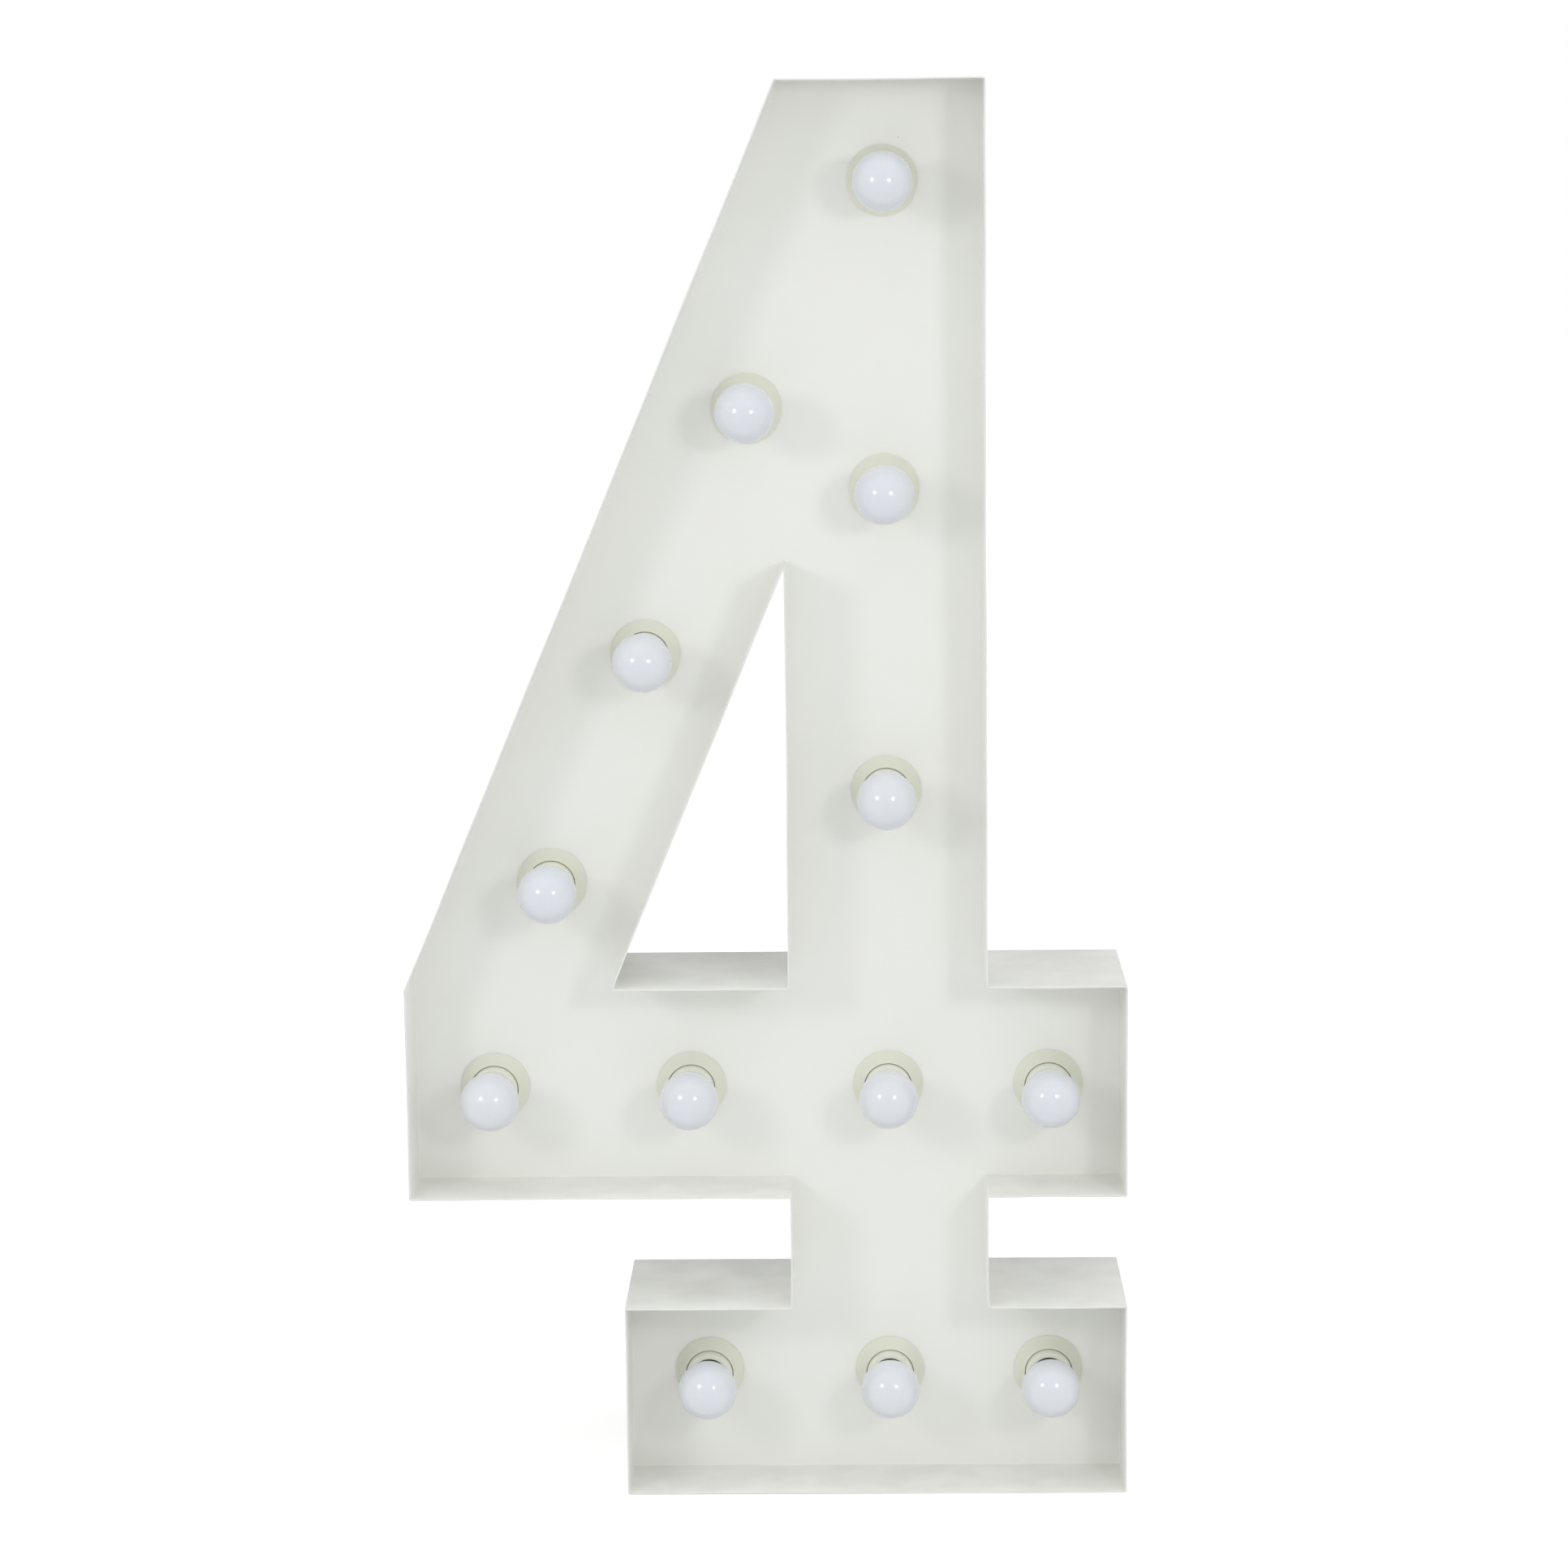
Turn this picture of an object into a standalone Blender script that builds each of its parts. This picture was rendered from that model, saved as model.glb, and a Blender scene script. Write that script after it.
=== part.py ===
"""Free-standing light up marquee number four, in folded sheet metal with thirteen globe lamps.

Metres, +Z up. The front faces -Y. The origin is the middle of the number's box, on the floor.
Depths named "out" are measured forward from the front face of the lamp panel.
"""

import math

import bmesh
import bpy
from mathutils import Matrix, Vector
from mathutils.geometry import interpolate_bezier

# Outline of the number
HEIGHT = 1.2
WIDTH = 0.611
STEM_WIDTH = 0.1688
ARM_REACH = 0.1177
TOP_WIDTH = 0.1726
BASE_WIDTH = 0.4287
BASE_HEIGHT = 0.1653
NOTCH_HEIGHT = 0.096
BAR_HEIGHT = 0.1829
COUNTER_HEIGHT = 0.3538
COUNTER_WIDTH = 0.1477

# Sheet metal body
BODY_DEPTH = 0.155
PANEL_RECESS = 0.0745
COVER_RECESS = 0.005
SHEET = 0.0012
GAP = 0.0003
SHARP_DEGREES = 40

# Places of the lamps
LAMP_BASE_RISE = 0.088
LAMP_BAR_RISE = 0.0821
LAMP_TOP_DROP = 0.084
LAMP_LEFT_INSET = 0.0693
LAMP_RIGHT_INSET = 0.0642
DIAGONAL_LAMP_SHARES = (0.681, 0.406, 0.146)

# Lamp holder, with its dished ring in front of the panel and its lock nut behind it
ROUND_SIDES = 16
HOLDER_RADIUS = 0.02
HOLDER_FRONT_OUT = 0.021
HOLDER_BACK_OUT = -0.036
HOLDER_BACK_RADIUS = 0.017
HOLDER_MOUTH_RADIUS = 0.0158
HOLDER_MOUTH_DEPTH = 0.006
NUT_RADIUS = 0.024
NUT_THICK = 0.0045
RING_RADIUS = 0.0297
RING_EDGE = 0.0015
RING_HEIGHT = 0.011
RING_FLOOR = 0.003
RING_LIP = 0.0012
RING_LIP_HEIGHT = 0.0014
RING_GROOVE = 0.0008

# Bulb, with a 27 mm screw cap
BULB_LENGTH = 0.09
GLOBE_RADIUS = 0.025
GLOBE_CENTRE_OUT = 0.058
GLOBE_RING_DEGREES = (30, 60, 90, 115, 137)
NECK_RADIUS = 0.0142
NECK_LENGTH = 0.007
CAP_RADIUS = 0.0131
CAP_LENGTH = 0.0247
CAP_SIDES = 12
CAP_CONE = 0.0035
CAP_INSULATOR_RADIUS = 0.009
CAP_CONTACT_RADIUS = 0.0048
CAP_CONTACT_LENGTH = 0.0025
CAP_CLEARANCE = 0.0008

# Frame that the rear cover lies on, and the screws through both, as (wall, share along it)
FRAME_WIDTH = 0.016
FRAME_SHEET = 0.0015
SCREW_SIDES = 8
SCREW_RADIUS = 0.0015
SCREW_HEAD_RADIUS = 0.0032
SCREW_HEAD = 0.0022
SCREW_LENGTH = 0.008
SCREW_SHARES = ((0, 0.5), (1, 0.3), (1, 0.7), (3, 0.5), (7, 0.5), (8, 0.25), (8, 0.75), (9, 0.5),
                (12, 0.7), (13, 0.5), (14, 0.25), (14, 0.6))

# Power inlet and rocker switch on the rear cover
SERVICE_RISE = 0.046
INLET_FROM_RIGHT = 0.1175
INLET_BODY = (0.027, 0.0198)
INLET_FLANGE = (0.031, 0.0245)
INLET_SOCKET = (0.0242, 0.0162)
INLET_FLANGE_THICK = 0.002
INLET_DEPTH = 0.025
INLET_SOCKET_DEPTH = 0.016
PIN_SIZE = (0.002, 0.004)
PIN_LENGTH = 0.0145
PIN_SPACING = 0.007
PIN_EARTH_RISE = 0.004
SWITCH_SPACING = 0.034
SWITCH_BODY = (0.0126, 0.0188)
SWITCH_FLANGE = (0.015, 0.0214)
SWITCH_WINDOW = (0.0104, 0.016)
SWITCH_FLANGE_THICK = 0.0016
SWITCH_DEPTH = 0.017
SWITCH_WINDOW_DEPTH = 0.0065
ROCKER_DEGREES = 8
ROCKER_PIVOT_DEPTH = 0.002
ROCKER_LENGTH = 0.014
ROCKER_RISE = 0.0036
ROCKER_DISH = 0.0024
ROCKER_SIDE = 0.001

# Internal wiring
WIRE_RADIUS = 0.0012
WIRE_TURN = 0.02
WIRE_STEM_INSET = 0.026
WIRE_STEPS = 2
WIRE_SIDE_STEPS = 1
TERMINAL_OFFSET = 0.006
TERMINAL_DIP = 0.005
STUD_RADIUS = 0.002
STUD_NUT_RADIUS = 0.0045
STUD_NUT_HEIGHT = 0.004
STUD_LENGTH = 0.014
STUD_DROP = 0.02

# Depth planes, from the front edge of the sheet to the back edge
BULB_TIP_OUT = GLOBE_CENTRE_OUT + GLOBE_RADIUS
BULB_PROUD = BULB_TIP_OUT - PANEL_RECESS
FRONT_Y = (BULB_PROUD - BODY_DEPTH) / 2
BACK_Y = FRONT_Y + BODY_DEPTH
PANEL_Y = FRONT_Y + PANEL_RECESS
COVER_Y = BACK_Y - COVER_RECESS
COVER_INNER_Y = COVER_Y - SHEET
HOLDER_BACK_Y = PANEL_Y - HOLDER_BACK_OUT
LIVE_Y = HOLDER_BACK_Y + GAP + WIRE_RADIUS
NEUTRAL_Y = LIVE_Y + 2 * WIRE_RADIUS + GAP

# Widths and heights that follow from the outline's sizes
RIGHT = WIDTH / 2
LEFT = -RIGHT
STEM_RIGHT = RIGHT - ARM_REACH
STEM_LEFT = STEM_RIGHT - STEM_WIDTH
STEM_MIDDLE = (STEM_LEFT + STEM_RIGHT) / 2
TOP_LEFT = STEM_RIGHT - TOP_WIDTH
BASE_LEFT = RIGHT - BASE_WIDTH
BAR_BOTTOM = BASE_HEIGHT + NOTCH_HEIGHT
BAR_TOP = BAR_BOTTOM + BAR_HEIGHT

# Corners of the outer edge, clockwise as the front shows them
CORNERS = [
    (TOP_LEFT, HEIGHT),
    (STEM_RIGHT, HEIGHT),
    (STEM_RIGHT, BAR_TOP),
    (RIGHT, BAR_TOP),
    (RIGHT, BAR_BOTTOM),
    (STEM_RIGHT, BAR_BOTTOM),
    (STEM_RIGHT, BASE_HEIGHT),
    (RIGHT, BASE_HEIGHT),
    (RIGHT, 0),
    (BASE_LEFT, 0),
    (BASE_LEFT, BASE_HEIGHT),
    (STEM_LEFT, BASE_HEIGHT),
    (STEM_LEFT, BAR_BOTTOM),
    (LEFT, BAR_BOTTOM),
    (LEFT, BAR_TOP),
]
# Corners of the triangular counter, the other way round, so that the metal is on the same hand
COUNTER = [
    (STEM_LEFT, BAR_TOP + COUNTER_HEIGHT),
    (STEM_LEFT - COUNTER_WIDTH, BAR_TOP),
    (STEM_LEFT, BAR_TOP),
]
# Folded strip that makes each side wall, from the first corner on
WALL_STRIPS = [
    "return_top_and_stem", "return_top_and_stem",
    "return_arm", "return_arm", "return_arm",
    "return_foot_right", "return_foot_right",
    "return_base", "return_base", "return_base",
    "return_foot_left", "return_foot_left",
    "return_bar_left", "return_bar_left",
    "return_diagonal",
]


def finish(name, colour, roughness, metallic=0.0):
    """A Principled material."""
    material = bpy.data.materials.new(name)
    material.use_nodes = True
    shader = material.node_tree.nodes["Principled BSDF"]
    shader.inputs["Base Color"].default_value = (*colour, 1.0)
    shader.inputs["Roughness"].default_value = roughness
    shader.inputs["Metallic"].default_value = metallic
    return material


def add_object(name, data, material, parent=None):
    """Links an object with its material, under a parent where it has one."""
    item = bpy.data.objects.new(name, data)
    bpy.context.scene.collection.objects.link(item)
    item.data.materials.append(material)
    item.parent = parent
    return item


def add_empty(name, place, turn=(0, 0, 0)):
    """An empty that marks an axis."""
    item = bpy.data.objects.new(name, None)
    bpy.context.scene.collection.objects.link(item)
    item.location = place
    item.rotation_euler = turn
    return item


def to_mesh(shape, name):
    """A mesh from a bmesh, with outward faces, flat where it is flat and smooth where it is round."""
    bmesh.ops.recalc_face_normals(shape, faces=shape.faces)
    mesh = bpy.data.meshes.new(name)
    shape.to_mesh(mesh)
    shape.free()
    mesh.shade_smooth()
    mesh.set_sharp_from_angle(angle=math.radians(SHARP_DEGREES))
    return mesh


def prism(name, loops, near, far):
    """A plate with an outline, and holes in it, from y = near to y = far."""
    shape = bmesh.new()
    edges = []
    for loop in loops:
        verts = [shape.verts.new((x, near, z)) for x, z in loop]
        edges += [shape.edges.new((verts[i - 1], verts[i])) for i in range(len(verts))]
    bmesh.ops.triangle_fill(shape, use_beauty=True, edges=edges)
    raised = bmesh.ops.extrude_face_region(shape, geom=shape.faces[:])
    verts = [item for item in raised["geom"] if isinstance(item, bmesh.types.BMVert)]
    bmesh.ops.translate(shape, verts=verts, vec=(0, far - near, 0))
    return to_mesh(shape, name)


def turned(name, profile, sides):
    """A solid turned about the local Z axis, from a closed ring of (radius, height) points."""
    shape = bmesh.new()
    verts = [shape.verts.new((radius, 0, height)) for radius, height in profile]
    edges = []
    for i, vert in enumerate(verts):
        if profile[i - 1][0] > 0 or profile[i][0] > 0:
            edges.append(shape.edges.new((verts[i - 1], vert)))
    bmesh.ops.spin(shape, geom=verts + edges, axis=(0, 0, 1), angle=math.tau, steps=sides, use_merge=True)
    bmesh.ops.remove_doubles(shape, verts=shape.verts[:], dist=GAP / sides)
    return to_mesh(shape, name)


def stepped(name, steps):
    """A rectangular solid of (width, height, depth) loops that follow each other, with both ends closed."""
    shape = bmesh.new()
    loops = []
    for width, height, depth in steps:
        x, z = width / 2, height / 2
        corners = (-x, -z), (x, -z), (x, z), (-x, z)
        loops.append([shape.verts.new((across, depth, up)) for across, up in corners])
    for lower, upper in zip(loops, loops[1:]):
        for i in range(len(lower)):
            shape.faces.new((lower[i - 1], lower[i], upper[i], upper[i - 1]))
    shape.faces.new(loops[0])
    shape.faces.new(loops[-1])
    return to_mesh(shape, name)


def gather(name, mesh, places):
    """One mesh of separate copies of a piece, each at a matrix."""
    shape = bmesh.new()
    for place in places:
        before = len(shape.verts)
        shape.from_mesh(mesh)
        shape.verts.ensure_lookup_table()
        bmesh.ops.transform(shape, matrix=place, verts=shape.verts[before:])
    return to_mesh(shape, name)


def inset(loop, distance):
    """The loop moved to its right hand side by a distance, with mitred corners."""
    moved = []
    for i, (x, z) in enumerate(loop):
        before = right_hand(loop[i - 1], loop[i])
        after = right_hand(loop[i], loop[(i + 1) % len(loop)])
        shift = (before + after) * distance / (1 + before.dot(after))
        moved.append((x + shift.x, z + shift.y))
    return moved


def heading(start, end):
    """Unit vector from one (x, z) point to another."""
    return (Vector(end) - Vector(start)).normalized()


def right_hand(start, end):
    """Unit vector at right angles to a line, on its right hand side."""
    along = heading(start, end)
    return Vector((along.y, -along.x))


def spaced(first, last, count):
    """Evenly spaced values from the first to the last, with both ends."""
    return [first + (last - first) * i / (count - 1) for i in range(count)]


def lamp_places():
    """The lamps' (x, z) places, from the top down."""
    bar_z = BAR_BOTTOM + LAMP_BAR_RISE
    stem = [(STEM_MIDDLE, z) for z in spaced(HEIGHT - LAMP_TOP_DROP, bar_z, 4)]
    bar = [(x, bar_z) for x in spaced(LEFT + LAMP_LEFT_INSET, STEM_MIDDLE, 3)]
    start, end = Vector(CORNERS[14]), Vector(CORNERS[0])
    middle = right_hand(start, end) * right_hand(start, end).dot(Vector(COUNTER[1]) - start) / 2
    diagonal = [tuple(start.lerp(end, share) + middle) for share in DIAGONAL_LAMP_SHARES]
    right_x = RIGHT - LAMP_RIGHT_INSET
    base = [(x, LAMP_BASE_RISE) for x in (BASE_LEFT + LAMP_LEFT_INSET, STEM_MIDDLE, right_x)]
    return [stem[0], diagonal[0], stem[1], diagonal[1], diagonal[2], stem[2],
            bar[0], bar[1], stem[3], (right_x, bar_z), *base]


def round_hole(centre, radius, sides):
    """Corner points of a round hole, in step with the turned pieces that pass through it."""
    x, z = centre
    turns = [math.tau * i / sides for i in range(sides)]
    return [(x + radius * math.cos(turn), z + radius * math.sin(turn)) for turn in turns]


def square_hole(centre, size):
    """Corner points of a rectangular cut-out, with the clearance gap round the piece that it takes."""
    x, z = centre
    across, up = size[0] / 2 + GAP, size[1] / 2 + GAP
    return [(x - across, z - up), (x + across, z - up), (x + across, z + up), (x - across, z + up)]


def add_returns(paint):
    """The side walls: folded strips that butt at mitred corners, and the closed strip round the counter."""
    inner = inset(CORNERS, SHEET)
    for name in dict.fromkeys(WALL_STRIPS):
        start = WALL_STRIPS.index(name)
        end = start + WALL_STRIPS.count(name)
        run = [i % len(CORNERS) for i in range(start, end + 1)]
        first = heading(CORNERS[run[0]], CORNERS[run[1]]) * GAP
        last = heading(CORNERS[run[-1]], CORNERS[run[-2]]) * GAP
        sides = []
        for loop in (CORNERS, inner):
            side = [Vector(loop[i]) for i in run]
            side[0] = side[0] + first
            side[-1] = side[-1] + last
            sides.append(side)
        add_object(name, prism(name, [sides[0] + sides[1][::-1]], FRONT_Y, BACK_Y), paint)
    counter = prism("return_counter", [COUNTER, inset(COUNTER, SHEET)], FRONT_Y, BACK_Y)
    add_object("return_counter", counter, paint)


def inside_loops():
    """Outline and counter of a plate that fits inside the side walls."""
    reach = SHEET + GAP
    return [inset(CORNERS, reach), inset(COUNTER, reach)]


def add_panel(paint):
    """The recessed panel that carries the lamps."""
    holes = [round_hole(place, HOLDER_RADIUS + GAP, ROUND_SIDES) for place in lamp_places()]
    mesh = prism("bulb_panel", inside_loops() + holes, PANEL_Y, PANEL_Y + SHEET)
    add_object("bulb_panel", mesh, paint)


def screw_places():
    """The (x, z) places of the cover screws, along the middle of the frame."""
    places = []
    for wall, share in SCREW_SHARES:
        start, end = CORNERS[wall], CORNERS[(wall + 1) % len(CORNERS)]
        reach = SHEET + GAP + FRAME_WIDTH / 2
        places.append(tuple(Vector(start).lerp(Vector(end), share) + right_hand(start, end) * reach))
    return places


def inlet_place():
    """The (x, z) place of the power inlet."""
    return RIGHT - INLET_FROM_RIGHT, SERVICE_RISE


def switch_place():
    """The (x, z) place of the rocker switch, beside the inlet."""
    x, z = inlet_place()
    return x - SWITCH_SPACING, z


def add_cover(paint):
    """The rear cover, with cut-outs for its screws, the inlet and the switch."""
    holes = [round_hole(place, SCREW_RADIUS + GAP, SCREW_SIDES) for place in screw_places()]
    holes += [square_hole(inlet_place(), INLET_BODY), square_hole(switch_place(), SWITCH_BODY)]
    add_object("rear_cover", prism("rear_cover", inside_loops() + holes, COVER_INNER_Y, COVER_Y), paint)


def facing_back(x, y, z):
    """A matrix that turns local Z to the back."""
    return Matrix.Translation((x, y, z)) @ Matrix.Rotation(-math.pi / 2, 4, "X")


def add_frame(steel):
    """The frame that the cover lies on, joined to the pan head screws that hold the cover."""
    reach = SHEET + GAP
    loops = [inset(CORNERS, reach), inset(CORNERS, reach + FRAME_WIDTH)]
    back = COVER_INNER_Y - GAP
    frame = add_object("cover_frame", prism("cover_frame", loops, back - FRAME_SHEET, back), steel)
    top = GAP + SCREW_HEAD
    screw = turned("cover_screw", [
        (0, top),
        (SCREW_HEAD_RADIUS - SCREW_HEAD / 2, top),
        (SCREW_HEAD_RADIUS, GAP + SCREW_HEAD / 2),
        (SCREW_HEAD_RADIUS, GAP),
        (SCREW_RADIUS, GAP),
        (SCREW_RADIUS, -SCREW_LENGTH),
        (0, -SCREW_LENGTH),
    ], SCREW_SIDES)
    places = [facing_back(x, COVER_Y, z) for x, z in screw_places()]
    screws = add_object("cover_screws", gather("cover_screws", screw, places), steel)
    screws.hide_render = True
    screws.display_type = "WIRE"
    join = frame.modifiers.new("Screws", "BOOLEAN")
    join.operation = "UNION"
    join.solver = "EXACT"
    join.object = screws


def holder_mesh():
    """A screw lamp holder, turned about its axis, with heights measured out of the panel."""
    nut_front = -SHEET - GAP
    nut_back = nut_front - NUT_THICK
    lip = HOLDER_RADIUS + RING_GROOVE
    bore = CAP_RADIUS + CAP_CLEARANCE
    bottom = BULB_TIP_OUT - BULB_LENGTH - GAP
    return turned("lamp_holder", [
        (0, HOLDER_BACK_OUT),
        (HOLDER_BACK_RADIUS, HOLDER_BACK_OUT),
        (HOLDER_RADIUS, nut_back),
        (NUT_RADIUS, nut_back),
        (NUT_RADIUS, nut_front),
        (HOLDER_RADIUS, nut_front),
        (HOLDER_RADIUS, GAP),
        (RING_RADIUS, GAP),
        (RING_RADIUS, GAP + RING_EDGE),
        (lip + RING_LIP, RING_HEIGHT - RING_LIP_HEIGHT),
        (lip + RING_LIP, RING_HEIGHT),
        (lip, RING_HEIGHT),
        (lip, RING_FLOOR),
        (HOLDER_RADIUS, RING_FLOOR),
        (HOLDER_RADIUS, HOLDER_FRONT_OUT),
        (HOLDER_MOUTH_RADIUS, HOLDER_FRONT_OUT),
        (bore, HOLDER_FRONT_OUT - HOLDER_MOUTH_DEPTH),
        (bore, bottom),
        (0, bottom),
    ], ROUND_SIDES)


def cap_mesh():
    """The bulb's screw cap, with its insulator and contact."""
    end = BULB_TIP_OUT - BULB_LENGTH
    cone = end + CAP_CONTACT_LENGTH
    return turned("bulb_cap", [
        (0, end),
        (CAP_CONTACT_RADIUS, end),
        (CAP_CONTACT_RADIUS, cone),
        (CAP_INSULATOR_RADIUS, cone),
        (CAP_RADIUS, cone + CAP_CONE),
        (CAP_RADIUS, end + CAP_LENGTH),
        (0, end + CAP_LENGTH),
    ], CAP_SIDES)


def globe_mesh():
    """The bulb's opal globe and neck, as one solid."""
    rim = BULB_TIP_OUT - BULB_LENGTH + CAP_LENGTH + GAP
    globe = []
    for degrees in GLOBE_RING_DEGREES:
        turn = math.radians(degrees)
        globe.append((GLOBE_RADIUS * math.sin(turn), GLOBE_CENTRE_OUT + GLOBE_RADIUS * math.cos(turn)))
    neck = [(NECK_RADIUS, rim + NECK_LENGTH), (CAP_RADIUS, rim), (0, rim)]
    return turned("bulb_globe", [(0, BULB_TIP_OUT), *globe, *neck], ROUND_SIDES)


def add_lamps(ivory, opal, nickel):
    """Holder and bulb at each lamp's place. The bulb turns about its empty's Z axis as it leaves."""
    holder, cap, globe = holder_mesh(), cap_mesh(), globe_mesh()
    for number, (x, z) in enumerate(lamp_places(), 1):
        axis = add_empty(f"lamp_{number:02d}_axis", (x, PANEL_Y, z), (math.pi / 2, 0, 0))
        add_object(f"lamp_holder_{number:02d}", holder, ivory, axis)
        add_object(f"bulb_{number:02d}_cap", cap, nickel, axis)
        add_object(f"bulb_{number:02d}_globe", globe, opal, axis)


def add_inlet(black, nickel):
    """The snap-in power inlet and its three pins."""
    x, z = inlet_place()
    face = GAP + INLET_FLANGE_THICK
    floor = face - INLET_SOCKET_DEPTH
    body = stepped("inlet_body", [
        (*INLET_BODY, -INLET_DEPTH),
        (*INLET_BODY, GAP),
        (*INLET_FLANGE, GAP),
        (*INLET_FLANGE, face),
        (*INLET_SOCKET, face),
        (*INLET_SOCKET, floor),
    ])
    add_object("inlet_body", body, black).location = (x, COVER_Y, z)
    pin = stepped("inlet_pin", [(*PIN_SIZE, floor + GAP), (*PIN_SIZE, floor + PIN_LENGTH)])
    sites = {"neutral": (-PIN_SPACING, 0), "earth": (0, PIN_EARTH_RISE), "live": (PIN_SPACING, 0)}
    for pole, (across, up) in sites.items():
        add_object(f"inlet_pin_{pole}", pin, nickel).location = (x + across, COVER_Y, z + up)


def add_switch(black, red):
    """The snap-in rocker switch. The rocker's origin is its pivot, and it rests on its off side."""
    x, z = switch_place()
    face = GAP + SWITCH_FLANGE_THICK
    body = stepped("switch_body", [
        (*SWITCH_BODY, -SWITCH_DEPTH),
        (*SWITCH_BODY, GAP),
        (*SWITCH_FLANGE, GAP),
        (*SWITCH_FLANGE, face),
        (*SWITCH_WINDOW, face),
        (*SWITCH_WINDOW, face - SWITCH_WINDOW_DEPTH),
    ])
    add_object("switch_body", body, black).location = (x, COVER_Y, z)
    reach, half = ROCKER_LENGTH / 2, SWITCH_WINDOW[0] / 2 - GAP
    profile = [(-reach, -ROCKER_SIDE), (reach, -ROCKER_SIDE), (reach, ROCKER_RISE), (0, ROCKER_DISH),
               (-reach, ROCKER_RISE)]
    rocker = add_object("switch_rocker", prism("switch_rocker", [profile], -half, half), red)
    upright = Matrix(((0, 1, 0), (0, 0, 1), (1, 0, 0))).to_4x4()
    tilt = Matrix.Rotation(math.radians(-ROCKER_DEGREES), 4, "X")
    pivot = Matrix.Translation((x, COVER_Y + face - ROCKER_PIVOT_DEPTH, z))
    rocker.matrix_world = pivot @ tilt @ upright


def smooth(points):
    """Points along a smooth curve through the given ones."""
    knots = [Vector(point) for point in points]
    ways = [(after - before).normalized() for before, after in zip(knots, knots[1:])]
    tangents = [ways[0], *[(a + b).normalized() for a, b in zip(ways, ways[1:])], ways[-1]]
    line = [knots[0]]
    for i, (start, end) in enumerate(zip(knots, knots[1:])):
        reach = (end - start).length / 3
        handles = start + tangents[i] * reach, end - tangents[i + 1] * reach
        line += interpolate_bezier(start, *handles, end, WIRE_STEPS + 1)[1:]
    return line


def add_wire(name, route, material):
    """Insulated wire along a route."""
    curve = bpy.data.curves.new(name, "CURVE")
    curve.dimensions = "3D"
    curve.bevel_depth = WIRE_RADIUS
    curve.bevel_resolution = WIRE_SIDE_STEPS
    curve.use_fill_caps = True
    line = smooth(route)
    spline = curve.splines.new("POLY")
    spline.points.add(len(line) - 1)
    for point, place in zip(spline.points, line):
        point.co = (*place, 1)
    add_object(name, curve, material)


def lamp_chain():
    """The (x, z) route past the back of every holder, from the inlet's corner."""
    places = dict(enumerate(lamp_places(), 1))
    top_x, top_z = places[1]
    left_x, left_z = places[11]
    right_x, right_z = places[13]
    riser = STEM_LEFT + WIRE_STEM_INSET
    loop = WIRE_TURN
    return [
        (right_x, right_z - loop), (right_x + loop, right_z - loop / 2), places[13], places[12], places[11],
        (left_x - loop, left_z + loop / 2), (left_x, left_z + loop),
        (riser, BASE_HEIGHT - WIRE_STEM_INSET), (riser, BAR_BOTTOM + WIRE_STEM_INSET),
        places[8], places[7], places[5], places[4], places[2], places[1],
        (top_x + loop, top_z), (top_x + loop, top_z - loop),
        places[3], places[6], places[9], places[10],
    ]


def add_wiring(brown, blue, green):
    """Live by way of the switch and neutral past every holder, and earth to a stud on the panel."""
    inlet_x, z = inlet_place()
    switch_x = switch_place()[0]
    upper, lower = z + TERMINAL_OFFSET, z - TERMINAL_OFFSET
    inlet_back = COVER_Y - INLET_DEPTH - GAP
    switch_back = COVER_Y - SWITCH_DEPTH - GAP - WIRE_RADIUS
    live = [(inlet_x, inlet_back, upper), (inlet_x, inlet_back - TERMINAL_DIP, upper),
            (switch_x, switch_back, upper), (switch_x - TERMINAL_OFFSET, (switch_back + LIVE_Y) / 2, z),
            (switch_x, LIVE_Y, z)]
    add_wire("wire_live", live + [(x, LIVE_Y, z) for x, z in lamp_chain()], brown)

    neutral = [(inlet_x, inlet_back, z), (inlet_x, NEUTRAL_Y + TERMINAL_DIP, z),
               (inlet_x + 2 * TERMINAL_DIP, NEUTRAL_Y, z)]
    add_wire("wire_neutral", neutral + [(x, NEUTRAL_Y, z) for x, z in lamp_chain()], blue)

    stud_z = z - STUD_DROP
    tip = PANEL_Y + SHEET + STUD_LENGTH + GAP
    earth = [(inlet_x, inlet_back, lower), (inlet_x, inlet_back - TERMINAL_DIP, lower),
             (inlet_x, tip + TERMINAL_DIP, stud_z), (inlet_x, tip, stud_z)]
    add_wire("wire_earth", earth, green)


def add_stud(steel):
    """The earth stud and its nut, on the back of the panel below the inlet."""
    x, z = inlet_place()
    nut = GAP + STUD_NUT_HEIGHT
    mesh = turned("earth_stud", [(0, STUD_LENGTH), (STUD_RADIUS, STUD_LENGTH), (STUD_RADIUS, nut),
                                 (STUD_NUT_RADIUS, nut), (STUD_NUT_RADIUS, GAP), (0, GAP)], SCREW_SIDES)
    add_object("earth_stud", mesh, steel).matrix_world = facing_back(x, PANEL_Y + SHEET, z - STUD_DROP)


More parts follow.
